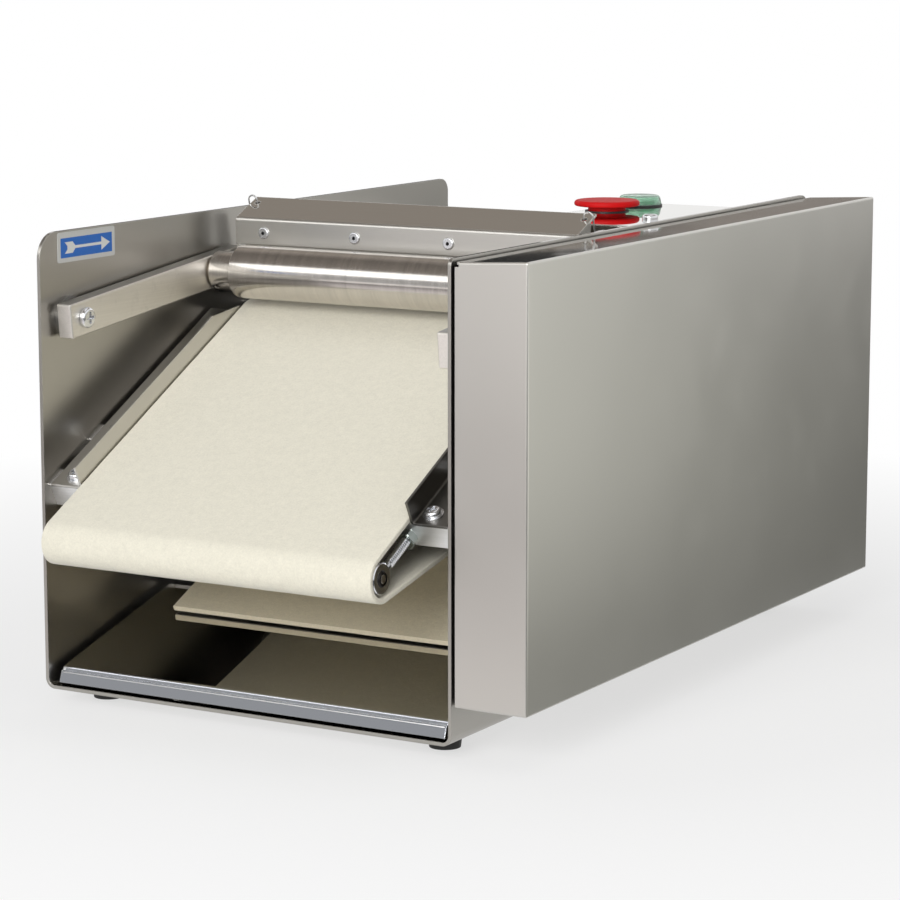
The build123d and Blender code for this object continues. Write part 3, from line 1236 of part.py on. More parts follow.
def panel_screws():
    made = []
    screw = pan_screw(SMALL_SCREW, TOP_SHEET + BRACKET_SHEET + SCREW_PAST)
    made += [facing(x, y, PANEL_Z, (0, 0, 1)) * screw for x, y in TOP_PLACES]
    made += [facing(*SHELF_PLACE, SHELF_Z, (0, 0, 1)) * screw]
    made += [facing(x, y, PANEL_Z + TOP_SHEET, (0, 0, 1)) * screw for x, y in FOOT_FLANGE_PLACES]
    made += [facing(x, FRAME_DEPTH, z, (0, 1, 0)) * screw for x, z in REAR_PLACES]
    made += [facing(COVER_SCREW_X, y, COVER_Z0, (0, 0, -1)) * screw for y in COVER_FOOT_PLACES]
    made += [facing(COVER_SCREW_X, FRAME_DEPTH, z, (0, 1, 0)) * screw for z in COVER_BACK_PLACES]
    short = pan_screw(SMALL_SCREW, BEARING_FLANGE + SHEET)
    for y, z in BEARING_PLACES:
        bolt = facing(INNER_L + BEARING_FLANGE, y, z, (1, 0, 0)) * short
        made += [bolt, other_side(bolt)]
    return group(made)


def top_cover():
    """Lid between the panels, with a front lip and an opening for the switch blocks."""
    x0 = INNER_L + SHEET_FIT
    x1 = INNER_R - SHEET_FIT
    points = [(PANEL_Y0, PANEL_Z - TOP_LIP), (PANEL_Y0, PANEL_Z), (FRAME_DEPTH, PANEL_Z)]
    cover = folded(points, -TOP_SHEET, SHEET_BEND, x0, x1)
    hole = SMALL_SCREW[0] + SCREW_FIT
    places = TOP_PLACES + FOOT_FLANGE_PLACES
    cuts = [rod_z(x, y, hole, PANEL_Z - TOP_SHEET - 1, PANEL_Z + 1) for x, y in places]
    room = BLOCK_HALF + BLOCK_ROOM
    y0 = ESTOP_BACK - room
    y1 = START_BACK + room
    cuts.append(block(ESTOP_X - room, ESTOP_X + room, y0, y1, PANEL_Z - TOP_SHEET - 1, PANEL_Z + 1))
    return cover - cuts


def switch_shelf():
    """Raised box on the lid beside the right panel, with a foot flange, that carries the switches."""
    t = TOP_SHEET
    x0 = SHELF_X0
    x1 = SHELF_X1
    shelf = block(x0, x1, PANEL_Y0, SHELF_REAR, PANEL_Z, SHELF_Z)
    folds = [edge for edge in shelf.faces().sort_by(Axis.Z)[-1].edges() if edge.center().X < x1 - t]
    folds += [edge for edge in shelf.edges().filter_by(Axis.Z) if edge.center().X < x1 - t]
    shelf = fillet(folds, SHELF_EDGE)
    shelf = shelf - block(x0 + t, x1 + 1, PANEL_Y0 + t, SHELF_REAR - t, PANEL_Z - 1, SHELF_Z - t)
    y0 = PANEL_Y0 + SHELF_FOOT
    y1 = SHELF_REAR - SHELF_FOOT
    shelf = shelf + block(x0 - SHELF_FOOT, x0 + t, y0, y1, PANEL_Z, PANEL_Z + t)
    hole = SMALL_SCREW[0] + SCREW_FIT
    cuts = [rod_z(x, y, hole, PANEL_Z - 1, PANEL_Z + t + 1) for x, y in FOOT_FLANGE_PLACES]
    cuts.append(rod_z(*SHELF_PLACE, hole, SHELF_Z - t - 1, SHELF_Z + 1))
    for y in (ESTOP_BACK, START_BACK):
        cuts.append(rod_z(ESTOP_X, y, BEZEL_SLEEVE + SCREW_FIT, SHELF_Z - t - 1, SHELF_Z + 1))
    return shelf - cuts


def rear_panel():
    x0 = INNER_L + SHEET_FIT
    x1 = INNER_R - SHEET_FIT
    z1 = PANEL_Z - TOP_SHEET - SHEET_FIT
    y0 = FRAME_DEPTH - TOP_SHEET
    panel = block(x0, x1, y0, FRAME_DEPTH, FLOOR_TOP + FRAME_BEND, z1)
    cuts = [rod_y(x, z, SMALL_SCREW[0] + SCREW_FIT, y0 - 1, FRAME_DEPTH + 1) for x, z in REAR_PLACES]
    z = inlet_z()
    half = INLET_HALF + INLET_FIT
    high = INLET_HIGH + INLET_FIT
    cuts += [block(INLET_X - half, INLET_X + half, y0 - 1, FRAME_DEPTH + 1, z - high, z + high)]
    middle = (FLOOR_TOP + PANEL_Z) / 2 + VENT_RISE
    back = Plane(origin=(MID, y0 - 1, middle), x_dir=(1, 0, 0), z_dir=(0, -1, 0))
    slot = extrude(SlotOverall(VENT_LENGTH, VENT_WIDTH), amount=4, both=True)
    for row in range(VENT_ROWS):
        for side in (-1, 1):
            rise = (row - (VENT_ROWS - 1) / 2) * VENT_STEP
            cuts.append(back * Pos(side * (VENT_LENGTH + VENT_APART) / 2, rise, 0) * slot)
    return panel - cuts


def inlet_z():
    return FLOOR + INLET_RISE


def power_inlet():
    """Appliance inlet: flange outside the rear panel, body inside, recess with three flat pins."""
    z = inlet_z()
    y = FRAME_DEPTH
    w = INLET_HALF
    h = INLET_HIGH
    body = block(INLET_X - w, INLET_X + w, y - INLET_DEPTH, y, z - h, z + h)
    wide = INLET_FLANGE
    tall = INLET_FLANGE_HIGH
    flange = block(INLET_X - wide, INLET_X + wide, y, y + INLET_FLANGE_SHEET, z - tall, z + tall)
    flange = fillet(flange.edges().filter_by(Axis.Y), INLET_CORNER)
    w = w - INLET_WALL
    h = h - INLET_WALL
    recess = block(INLET_X - w, INLET_X + w, y - INLET_RECESS, y + INLET_FLANGE_SHEET + 1, z - h, z + h)
    recess = chamfer(recess.edges().filter_by(Axis.Y).sort_by(Axis.Z)[-2:], INLET_SLANT)
    inlet = body + flange - recess
    for side, up in ((-1, -1), (0, 1), (1, -1)):
        x0 = INLET_X + side * INLET_PIN_STEP - INLET_PIN / 2
        z0 = z + up * INLET_PIN_OFFSET - INLET_PIN_HIGH / 2
        inlet = inlet + block(x0, x0 + INLET_PIN, y - INLET_RECESS - 1, y - 1, z0, z0 + INLET_PIN_HIGH)
    return inlet


def switch_base(y, bore, rim_radius, rim_height):
    """Threaded sleeve with a thin rim on the shelf and a contact block below."""
    sleeve = rod_z(ESTOP_X, y, BEZEL_SLEEVE, SHELF_Z - SLEEVE_DEPTH, SHELF_Z)
    rim = rod_z(ESTOP_X, y, rim_radius, SHELF_Z, SHELF_Z + rim_height)
    low = SHELF_Z - BLOCK_DEPTH
    h = BLOCK_HALF
    case = block(ESTOP_X - h, ESTOP_X + h, y - h, y + h, low, SHELF_Z - SLEEVE_DEPTH)
    base = sleeve + rim + case
    base = base - rod_z(ESTOP_X, y, bore + RUN_FIT, SHELF_Z - SLEEVE_DEPTH, SHELF_Z + rim_height + 1)
    return base - rod_z(ESTOP_X, y, STEM_RADIUS + RUN_FIT, low + BLOCK_FLOOR, SHELF_Z)


def estop_base():
    return switch_base(ESTOP_BACK, ESTOP_NECK, ESTOP_RIM_RADIUS, ESTOP_RIM)


def estop_stem():
    """Plunger in the base; the mushroom cap turns on its top."""
    low = SHELF_Z - SLEEVE_DEPTH - STEM_BELOW
    high = SHELF_Z + ESTOP_STAND + ESTOP_CAP - STEM_COVER
    return rod_z(ESTOP_X, ESTOP_BACK, STEM_RADIUS, low, high)


def estop_cap():
    """Mushroom cap in its pressed place, with a neck that slides in the sleeve."""
    z0 = SHELF_Z + ESTOP_STAND
    low = SHELF_Z - SLEEVE_DEPTH
    cap = rod_z(ESTOP_X, ESTOP_BACK, ESTOP_RADIUS, z0, z0 + ESTOP_CAP)
    rings = cap.edges().filter_by(GeomType.CIRCLE).sort_by(Axis.Z)
    cap = fillet(rings[-1:], ESTOP_CAP * 0.55)
    ring = cap.edges().filter_by(GeomType.CIRCLE).sort_by(Axis.Z)[:1]
    cap = fillet(ring, ESTOP_CAP * 0.35)
    hub = rod_z(ESTOP_X, ESTOP_BACK, ESTOP_NECK, low + NECK_ROOM, z0 + NECK_ROOM)
    bore = rod_z(ESTOP_X, ESTOP_BACK, STEM_RADIUS + RUN_FIT, low, z0 + ESTOP_CAP - STEM_COVER)
    return cap + hub - bore


def start_base():
    return switch_base(START_BACK, START_RADIUS, BEZEL_RADIUS, BEZEL)


def start_button():
    z0 = SHELF_Z - SLEEVE_DEPTH + START_TRAVEL + NECK_ROOM
    z1 = SHELF_Z + START_STAND
    top = rod_z(ESTOP_X, START_BACK, START_RADIUS, z0, z1)
    top = fillet(top.edges().filter_by(GeomType.CIRCLE).sort_by(Axis.Z)[-1:], START_EDGE)
    low = SHELF_Z - SLEEVE_DEPTH - STEM_BELOW
    return top + rod_z(ESTOP_X, START_BACK, STEM_RADIUS, low, z1 - STEM_COVER / 2)


def start_boot():
    """Clear rubber cup, a little narrower at its top, on the rim of the start button's base."""
    z0 = SHELF_Z + BEZEL
    place = Pos(ESTOP_X, START_BACK, z0)
    cup = place * Pos(0, 0, BOOT_HEIGHT / 2) * Cone(BOOT_RADIUS, BOOT_TOP_RADIUS, BOOT_HEIGHT)
    cup = fillet(cup.edges().filter_by(GeomType.CIRCLE).sort_by(Axis.Z)[-1:], BOOT_ROUND)
    deep = BOOT_HEIGHT - BOOT_WALL
    inside = Cone(BOOT_RADIUS - BOOT_WALL, BOOT_TOP_RADIUS - BOOT_WALL, deep)
    return cup - place * Pos(0, 0, deep / 2) * inside


def arrow_label():
    z1 = TOP - LABEL_DROP
    y1 = LABEL_FRONT + LABEL_LENGTH
    plate = block(INNER_L, INNER_L + LABEL_SHEET, LABEL_FRONT, y1, z1 - LABEL_HEIGHT, z1)
    return fillet(plate.edges().filter_by(Axis.X), 1.5)


def build():
    springs = left_spring()
    guide = left_guide()
    arm = left_arm()
    return {
        "frame_shell": frame_shell(),
        "rear_panel": rear_panel(),
        "top_cover": top_cover(),
        "switch_shelf": switch_shelf(),
        "transmission_cover": transmission_cover(),
        "brackets": brackets(),
        "panel_screws": panel_screws(),
        "rubber_feet": rubber_feet(),
        "foot_screws": foot_screws(),
        "left_arm": arm,
        "right_arm": other_side(arm),
        "pivot_screws": pivot_screws(),
        "pivot_spacers": pivot_spacers(),
        "hex_nuts": hex_nuts(),
        "arm_bushes": arm_bushes(),
        "stop_pins": stop_pins(),
        "hood": hood(),
        "hood_rivets": hood_rivets(),
        "scraper_blade": scraper_blade(),
        "hood_screws": hood_screws(),
        "hood_spacers": hood_spacers(),
        "left_spring": springs,
        "right_spring": other_side(springs),
        "spring_pins": spring_pins(),
        "steel_roller": steel_roller(),
        "upper_gear": upper_gear(),
        "drive_roller": drive_roller(),
        "drive_gear": drive_gear(),
        "drive_bearings": drive_bearings(),
        "idler_gear": idler_gear(),
        "idler_axle": idler_axle(),
        "motor_pinion": motor_pinion(),
        "motor_shaft": motor_shaft(),
        "gearbox": gearbox(),
        "motor": motor(),
        "motor_screws": motor_screws(),
        "felt_belt": felt_belt(),
        "bed_plate": bed_plate(),
        "front_cross_bar": cross_bar(BAR_STARTS[0], True),
        "rear_cross_bar": cross_bar(BAR_STARTS[1], False),
        "left_guide": guide,
        "right_guide": other_side(guide),
        "guide_screws": guide_screws(),
        "nose_roller": nose_roller(),
        "rod_ends": rod_ends(),
        "rod_end_balls": rod_end_balls(),
        "forming_board": forming_board(),
        "forming_felt": forming_felt(),
        "board_bars": board_bars(),
        "tie_screws": tie_screws(),
        "chute": chute(),
        "arrow_label": arrow_label(),
        "estop_base": estop_base(),
        "estop_stem": estop_stem(),
        "estop_cap": estop_cap(),
        "start_base": start_base(),
        "start_button": start_button(),
        "start_boot": start_boot(),
        "power_inlet": power_inlet(),
    }


PIECES = build()
BOXES = [piece.bounding_box() for piece in PIECES.values()]
MIDDLE_X = (min(box.min.X for box in BOXES) + max(box.max.X for box in BOXES)) / 2
MIDDLE_Y = (min(box.min.Y for box in BOXES) + max(box.max.Y for box in BOXES)) / 2
TO_ORIGIN = Pos(-MIDDLE_X, -MIDDLE_Y, 0)
for name, piece in PIECES.items():
    solids = [TO_ORIGIN * one for one in piece.solids()]
    export_step(solids[0] if len(solids) == 1 else Compound(solids), "parts/" + name + ".step")

gap, length = spring_gap()
wire_volume = pi * SPRING_WIRE ** 2 / 4 * length
print("pieces", len(PIECES), "moved by", round(-MIDDLE_X, 3), round(-MIDDLE_Y, 3))
print("spring gap to itself", round(gap, 3), "wire length", round(length, 1))
spring_volume = PIECES["left_spring"].volume
print("spring volume", round(spring_volume, 2), "section times length", round(wire_volume, 2))
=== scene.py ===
import json
from math import asin, atan2, cos, pi, radians, sin, tan

import bmesh
import bpy
from bpy.props import FloatProperty, FloatVectorProperty, IntProperty, PointerProperty
from mathutils import Matrix, Vector, noise


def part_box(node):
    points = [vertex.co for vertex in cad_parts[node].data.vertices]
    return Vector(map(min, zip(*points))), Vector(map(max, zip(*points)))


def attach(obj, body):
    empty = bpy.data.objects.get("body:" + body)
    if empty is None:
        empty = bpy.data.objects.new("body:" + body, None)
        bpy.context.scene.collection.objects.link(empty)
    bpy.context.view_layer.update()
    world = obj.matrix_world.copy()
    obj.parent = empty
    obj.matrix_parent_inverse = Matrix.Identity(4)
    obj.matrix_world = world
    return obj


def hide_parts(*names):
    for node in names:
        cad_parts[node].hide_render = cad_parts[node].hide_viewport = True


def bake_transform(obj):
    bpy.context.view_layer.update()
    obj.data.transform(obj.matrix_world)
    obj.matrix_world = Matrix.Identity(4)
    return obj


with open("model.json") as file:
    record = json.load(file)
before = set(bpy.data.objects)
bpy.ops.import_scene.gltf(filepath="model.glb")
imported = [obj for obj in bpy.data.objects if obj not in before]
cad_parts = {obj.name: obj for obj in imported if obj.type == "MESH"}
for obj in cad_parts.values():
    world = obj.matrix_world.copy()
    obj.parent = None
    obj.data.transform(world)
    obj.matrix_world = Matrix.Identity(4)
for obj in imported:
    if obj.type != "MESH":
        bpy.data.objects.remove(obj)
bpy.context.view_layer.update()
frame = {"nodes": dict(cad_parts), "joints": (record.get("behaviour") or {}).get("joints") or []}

bl_info = {
    "name": "Croissant rolling machine",
    "version": (1, 0, 0),
    "blender": (4, 5, 0),
    "location": "3D View > Sidebar > Machine",
    "description": "Finishes a table-top croissant rolling machine on its CAD frame",
    "category": "Object",
}

JOINTS = {joint["name"]: joint for joint in frame["joints"]}
ACROSS = Vector((1.0, 0.0, 0.0))
UPWARDS = Vector((0.0, 0.0, 1.0))
NO_SLIDE = Vector((0.0, 0.0, 0.0))
WHITE = (1.0, 1.0, 1.0, 1.0)

# Points nearer than this are one, and edges sharper than this stay sharp
WELD = 1e-6
SHARP = radians(40.0)

# A piece's front or top is where the normal's part along that axis is past these; on the bars the tops take
# painted shade and the ends a painted highlight
SHEET_FRONT = -0.6
SHEET_TOP = 0.9
BAR_END = -0.8
BAR_TOP = 0.8


def length(name, description, default):
    return FloatProperty(
        name=name, description=description, default=default, min=0.0, unit="LENGTH", precision=5
    )


def share(name, description, default):
    return FloatProperty(
        name=name, description=description, default=default, min=0.0, max=1.0, subtype="FACTOR"
    )


def angle(name, description, default):
    return FloatProperty(name=name, description=description, default=default, subtype="ANGLE")


def count(name, description, default):
    return IntProperty(name=name, description=description, default=default, min=1)


def tint(name, description, default):
    return FloatVectorProperty(
        name=name, description=description, default=default, min=0.0, max=1.0, size=3, subtype="COLOR"
    )


class FeltSettings(bpy.types.PropertyGroup):
    """Belt and forming board felt."""

    belt: length("Belt thickness", "Thickness of the felt belt", 0.003)
    board: length("Board thickness", "Thickness of the felt on the forming board", 0.0025)
    slope: angle("Board slope", "Slope of the forming board's front", radians(24.5))
    bend: length("Board bend", "Bend of the felt's underside at the back of the board", 0.0625)
    rounding: length("Edge rounding", "Rounding of the cut edges of the felt", 0.0007)
    nap: length("Nap", "How far the felt's surface swells and sinks", 0.00015)
    colour: tint("Belt colour", "Undyed wool of the belt", (0.80, 0.765, 0.645))
    # The lining's colour is the belt wool made warmer and brighter, as painted light for the shade under the
    # belt
    lining: tint("Lining colour", "Floury wool on the forming board", (0.84, 0.76, 0.58))
    lap: length("Front lap", "How far the lining reaches past the board's front edge", 0.0006)
    droop: length("Front droop", "How far the lining's front edge hangs over the board's", 0.0007)
    cuts: count("Cuts across", "Cuts across a felt band", 40)
    run_steps: count("Run steps", "Steps along one straight run of the belt", 48)
    drive_steps: count("Drive steps", "Steps of the belt round the drive roller", 40)
    nose_steps: count("Nose steps", "Steps of the belt round the nose roller", 24)
    slope_steps: count("Slope steps", "Steps along the slope of the lining", 40)
    bend_steps: count("Bend steps", "Steps round the bend of the lining", 24)
    upright_steps: count("Upright steps", "Steps up the back of the lining", 16)


class SteelSettings(bpy.types.PropertyGroup):
    """Sheet, rollers and bars."""

    sheet: tint("Sheet colour", "Satin stainless sheet of the covers, hood and chute", (0.60, 0.585, 0.55))
    panel: tint("Panel colour", "Ground stainless sheet of the folded frame", (0.42, 0.405, 0.375))
    # The right guide's colour is painted shade: its steel is made near black for the dark surroundings it
    # mirrors
    guide: tint("Guide colour", "Dark sheet of the right guide", (0.20, 0.193, 0.18))
    sheet_roughness: share("Sheet roughness", "Gloss of the satin sheet", 0.31)
    chute_roughness: share("Chute roughness", "Gloss of the discharge chute", 0.06)
    # The hem's bluish tint on the chute's front faces is a painted reflection
    hem: tint("Hem colour", "Front hem of the chute", (0.55, 0.57, 0.61))
    hem_lip: length("Hem lip", "From the lower edge of the chute's lip up to the edge of its hem", 0.0062)
    hem_rise: length("Hem rise", "Lower edge of the lip over the foot of the chute", 0.0011)
    hem_edge: length("Hem edge", "Width of the painted_highlight edge of the hem", 0.0005)
    hem_lean: angle("Hem lean", "Lean of the lip to the front", radians(20.0))
    hem_rounding: share("Hem rounding", "Rounding of the painted_highlight edge as a share of its width", 0.3)
    # The hem edge's near-white colour is a painted highlight along the hem's folded edge
    hem_edge_highlight: tint("Burnish", "Burnished edge of the hem", (0.9, 0.9, 0.9))
    board_roughness: share("Board roughness", "Gloss of the forming board", 0.45)
    polished_roughness: share("Lid roughness", "Gloss of the polished lid and switch shelf", 0.06)
    grain: length("Grain width", "Width of one grinding line", 0.0007)
    stroke: length("Grain length", "Length of one grinding line", 0.09)
    contrast: share("Grain contrast", "How much the grinding lines show on the hood", 0.05)
    roller: tint("Roller colour", "Turned and ground roller steel", (0.64, 0.61, 0.575))
    roller_roughness: share("Roller roughness", "Gloss of the rollers", 0.17)
    ring: length("Ring width", "Width of one turned ring on the rollers", 0.0009)
    zinc: tint("Zinc colour", "Bright zinc on screws, nuts and rod ends", (0.72, 0.73, 0.75))
    arm: tint("Arm colour", "Milled flat bar of the two arms", (0.74, 0.715, 0.67))
    bar: tint("Bar colour", "Drawn aluminium of the cross bars", (0.93, 0.93, 0.93))
    # The bushes are bronze, darkened as painted shade for the shaded gap at the arms' joint
    painted_shade_bush: tint("Bush colour", "Oiled bronze of the arm bushes", (0.27, 0.225, 0.175))
    nut: tint("Nut colour", "Passivated zinc of the nuts", (0.58, 0.64, 0.61))
    painted_shade_spacer: tint("Spacer colour", "Dull steel of the pivot spacers", (0.24, 0.235, 0.225))
    # The spacers' dark colour is painted shade for the shadow behind the arms' ends
    oxide: tint("Oxide colour", "Black oxide of the rod ends' balls", (0.035, 0.033, 0.032))
    gear: tint("Gear colour", "Oiled steel of gears and shafts", (0.42, 0.41, 0.39))
    casting: tint("Casting colour", "Cast aluminium of gearbox and bearings", (0.55, 0.55, 0.54))
    paint: tint("Paint colour", "Dark paint of the motor", (0.045, 0.05, 0.055))
    rivet_head: length("Rivet head", "Radius of a rivet's head", 0.0037)
    rivet_bore: length("Rivet bore", "Radius of a rivet's bore", 0.0011)
    rivets: count("Rivets", "Rivets in the hood's row", 4)


class SpringSettings(bpy.types.PropertyGroup):
    """Arm springs."""

    wire: length("Wire", "Diameter of the spring wire", 0.001)
    coil: length("Coil radius", "Radius of the coil at the middle of the wire", 0.004)
    turns: FloatProperty(name="Turns", description="Turns of one coil", default=33.75, min=1.0)
    tilt: angle("Tilt", "Lean of the springs to the front", radians(13.0))
    span: length("Span", "From the pin to the hole in the hood", 0.066)
    foot: length("Foot", "From the pin to the first turn", 0.0085)
    head: length("Head", "From the last turn to the hole in the hood", 0.008)
    bend: length("Bend", "Bend between the coil and its hooks", 0.002)
    hook: length("Hook radius", "Radius of the hook in the hood", 0.003)
    over: length("Over", "How far the hook rises over the hole in the hood", 0.0015)
    tip: length("Tip", "Straight end of the hook in the hood", 0.0045)
    tail: length("Tail", "Straight end of the hook on the pin", 0.003)
    pin_head: length("Pin head", "How far a pin's head stands past its shank", 0.0015)
    play: length("Play", "Room between a pin and the wire", 0.0003)
    colour: tint("Spring colour", "Bright wire of the springs", (0.60, 0.60, 0.60))
    sides: count("Sides", "Sides of the wire's section", 8)
    turn_steps: count("Turn steps", "Steps in one turn of the coil", 16)
    hook_steps: count("Hook steps", "Steps round one hook", 14)
    bend_steps: count("Bend steps", "Steps round the bend from coil to hook", 6)


class ControlSettings(bpy.types.PropertyGroup):
    """Push buttons and label."""

    stop: tint("Stop red", "Mushroom cap of the emergency stop", (0.66, 0.006, 0.008))
    start: tint("Start green", "Start button under its boot", (0.015, 0.36, 0.16))
    boot: tint("Boot tint", "Clear rubber of the boot", (0.56, 0.80, 0.66))
    wall: length("Boot wall", "Thickness of the boot", 0.001)
    taper: length("Boot taper", "How much narrower the boot is at its top", 0.0014)
    shoulder: length("Boot shoulder", "Rounding at the top of the boot", 0.0016)
    boot_steps: count("Boot steps", "Steps round the boot", 64)
    base: tint("Base black", "Bases of the two buttons", (0.02, 0.02, 0.021))
    foot: tint("Foot black", "Rubber of the feet", (0.022, 0.022, 0.022))
    blue: tint("Label blue", "Field of the direction label", (0.004, 0.135, 0.55))
    silver: tint("Label silver", "Rim and arrow of the direction label", (0.60, 0.61, 0.60))


class StageSettings(bpy.types.PropertyGroup):
    """Camera, light and floor."""

    place: FloatVectorProperty(
        name="Camera place", description="Where the camera stands",
        default=(0.9426, -1.6337, 0.4453), subtype="TRANSLATION", unit="LENGTH", precision=4,
    )
    turn: FloatVectorProperty(
        name="Camera turn", description="How the camera is turned",
        default=(radians(80.54), radians(0.04), radians(30.2)), subtype="EULER", unit="ROTATION",
    )
    lens: FloatProperty(
        name="Lens", description="Focal length on a 36 mm sensor", default=125.96, subtype="DISTANCE_CAMERA"
    )
    key: FloatProperty(name="Key", description="Large softbox at the front", default=43.0, unit="POWER")
    top: FloatProperty(name="Top", description="Softbox overhead", default=4.0, unit="POWER")
    ambient: share("Ambient", "Light that comes from all round", 0.38)
    floor: tint("Floor", "Pale floor", (0.86, 0.86, 0.86))
    near: length("Near floor", "Out to here the floor keeps most of its shade", 0.3)
    far: length("Far floor", "From here on the floor is plain white", 0.85)
    least: share("Least white", "White laid over the near floor", 0.62)


class Socket:
    """A value in a node tree that takes part in sums."""

    def __init__(self, paint, link):
        self.paint = paint
        self.link = link

    def maths(self, operation, first, second=0.0):
        return self.paint.node("ShaderNodeMath", {"operation": operation}, {0: first, 1: second})

    def __add__(self, other):
        return self.maths("ADD", self, other)

    __radd__ = __add__

    def __sub__(self, other):
        return self.maths("SUBTRACT", self, other)

    def __rsub__(self, other):
        return self.maths("SUBTRACT", other, self)

    def __mul__(self, other):
        return self.maths("MULTIPLY", self, other)

    __rmul__ = __mul__

    def __lt__(self, other):
        return self.maths("LESS_THAN", self, other)

    def __gt__(self, other):
        return self.maths("GREATER_THAN", self, other)

    def __or__(self, other):
        return self.maths("MAXIMUM", self, other)

    def __abs__(self):
        return self.maths("ABSOLUTE", self)


class Paint:
    """One node tree, emptied, with the nodes that the finishes share."""

    def __init__(self, owner):
        owner.use_nodes = True
        self.tree = owner.node_tree
        self.tree.nodes.clear()

    def node(self, kind, settings=None, sockets=None, output=0):
        made = self.tree.nodes.new(kind)
        for key, value in (settings or {}).items():
            setattr(made, key, value)
        for key, value in (sockets or {}).items():
            if isinstance(value, Socket):
                self.tree.links.new(value.link, made.inputs[key])
            else:
                made.inputs[key].default_value = value
        return Socket(self, made.outputs[output]) if made.outputs else made

    def place(self):
        return self.node("ShaderNodeTexCoord", output="Object")

    def axes(self, vector):
        split = self.node("ShaderNodeSeparateXYZ", None, {0: vector})
        return [Socket(self, output) for output in split.link.node.outputs]

    def facing(self):
        return self.axes(self.node("ShaderNodeNewGeometry", output="True Normal"))

    def noise(self, steps, detail=2.0, roughness=0.5):
        """Noise with one swell for each of the given lengths along X, Y and Z."""
        scale = tuple(1.0 / step for step in steps)
        vector = self.node("ShaderNodeVectorMath", {"operation": "MULTIPLY"}, {0: self.place(), 1: scale})
        sockets = {"Vector": vector, "Scale": 1.0, "Detail": detail, "Roughness": roughness}
        return self.node("ShaderNodeTexNoise", None, sockets)

    def spread(self, value, low, high, to_low=0.0, to_high=1.0):
        sockets = {0: value, 1: low, 2: high, 3: to_low, 4: to_high}
        return self.node("ShaderNodeMapRange", {"clamp": True}, sockets)

    def mix(self, factor, first, second):
        sockets = {0: factor, 6: first, 7: second}
        return self.node("ShaderNodeMix", {"data_type": "RGBA"}, sockets, 2)

    def shaded(self, colour, shade):
        sockets = {0: 1.0, 6: colour, 7: shade}
        return self.node("ShaderNodeMix", {"data_type": "RGBA", "blend_type": "MULTIPLY"}, sockets, 2)

    def bump(self, height, distance, normal, strength):
        sockets = {"Height": height, "Distance": distance, "Strength": strength}
        if normal:
            sockets["Normal"] = normal
        return self.node("ShaderNodeBump", None, sockets)

    def soft_edges(self, radius):
        return self.node("ShaderNodeBevel", {"samples": 4}, {"Radius": radius})

    def surface(self, **sockets):
        named = {key.replace("_", " "): value for key, value in sockets.items()}
        shader = self.node("ShaderNodeBsdfPrincipled", None, named)
        self.node("ShaderNodeOutputMaterial", None, {"Surface": shader})


def rgba(colour, level=1.0):
    return (colour[0] * level, colour[1] * level, colour[2] * level, 1.0)


def even(step):
    return (step, step, step)


def new_finish(name):
    made = bpy.data.materials.new(name)
    return made, Paint(made)


def satin_sheet(name, colour, roughness, lines=None, front=None):
    """Satin stainless sheet: cloudy gloss, hand marks, and grinding lines given as steps and contrast."""
    made, paint = new_finish(name)
    facing = paint.facing()
    base = rgba(colour)
    # front: colour for the faces that look to the front, used as a painted reflection tint
    if front:
        base = paint.mix(facing[1] < SHEET_FRONT, base, rgba(front))
    if lines:
        steps, contrast = lines
        base = paint.shaded(base, 1.0 + (paint.noise(steps, 1.0, 0.6) - 0.5) * contrast)
    clouds = paint.noise(even(0.085), 2.0, 0.5)
    marks = paint.spread(paint.noise(even(0.028), 2.0, 0.5), 0.5, 0.8)
    smoother = (facing[2] > SHEET_TOP) * (roughness * 0.8)
    gloss = roughness + (clouds - 0.5) * 0.06 + marks * 0.02 - smoother
    waves = paint.bump(paint.noise(even(0.16), 1.0), 0.0012, paint.soft_edges(0.0007), 0.5)
    paint.surface(Base_Color=base, Metallic=1.0, Roughness=gloss, Normal=waves)
    return made


def turned_steel(name, colour, roughness, ring):
    """Turned and ground round: fine rings about the X axis and a few darker passes."""
    made, paint = new_finish(name)
    rings = paint.noise((ring, 0.03, 0.03), 3.0, 0.7)
    passes = paint.noise((0.006, 0.2, 0.2), 3.0, 0.6)
    wear = paint.noise(even(0.02), 5.0, 0.6)
    shade = 1.0 + (rings - 0.5) * 0.34 + (passes - 0.5) * 0.26
    gloss = roughness + (rings - 0.5) * 0.10 + (wear - 0.5) * 0.08
    paint.surface(
        Base_Color=paint.shaded(rgba(colour), shade), Metallic=1.0, Roughness=gloss,
        Normal=paint.bump(rings, 0.00002, paint.soft_edges(0.0005), 0.5),
    )
    return made


def plated(name, colour, roughness, edge=0.0003):
    """Plated or blackened small steel: cloudy gloss with fine pits."""
    made, paint = new_finish(name)
    clouds = paint.noise(even(0.006), 4.0, 0.6)
    fine = paint.noise(even(0.0006), 3.0, 0.6)
    shade = 0.94 + clouds * 0.16 - paint.spread(fine, 0.6, 0.8) * 0.08
    gloss = roughness + (clouds - 0.5) * 0.16
    paint.surface(
        Base_Color=paint.shaded(rgba(colour), shade), Metallic=1.0, Roughness=gloss,
        Normal=paint.bump(fine, 0.00002, paint.soft_edges(edge), 0.4),
    )
    return made


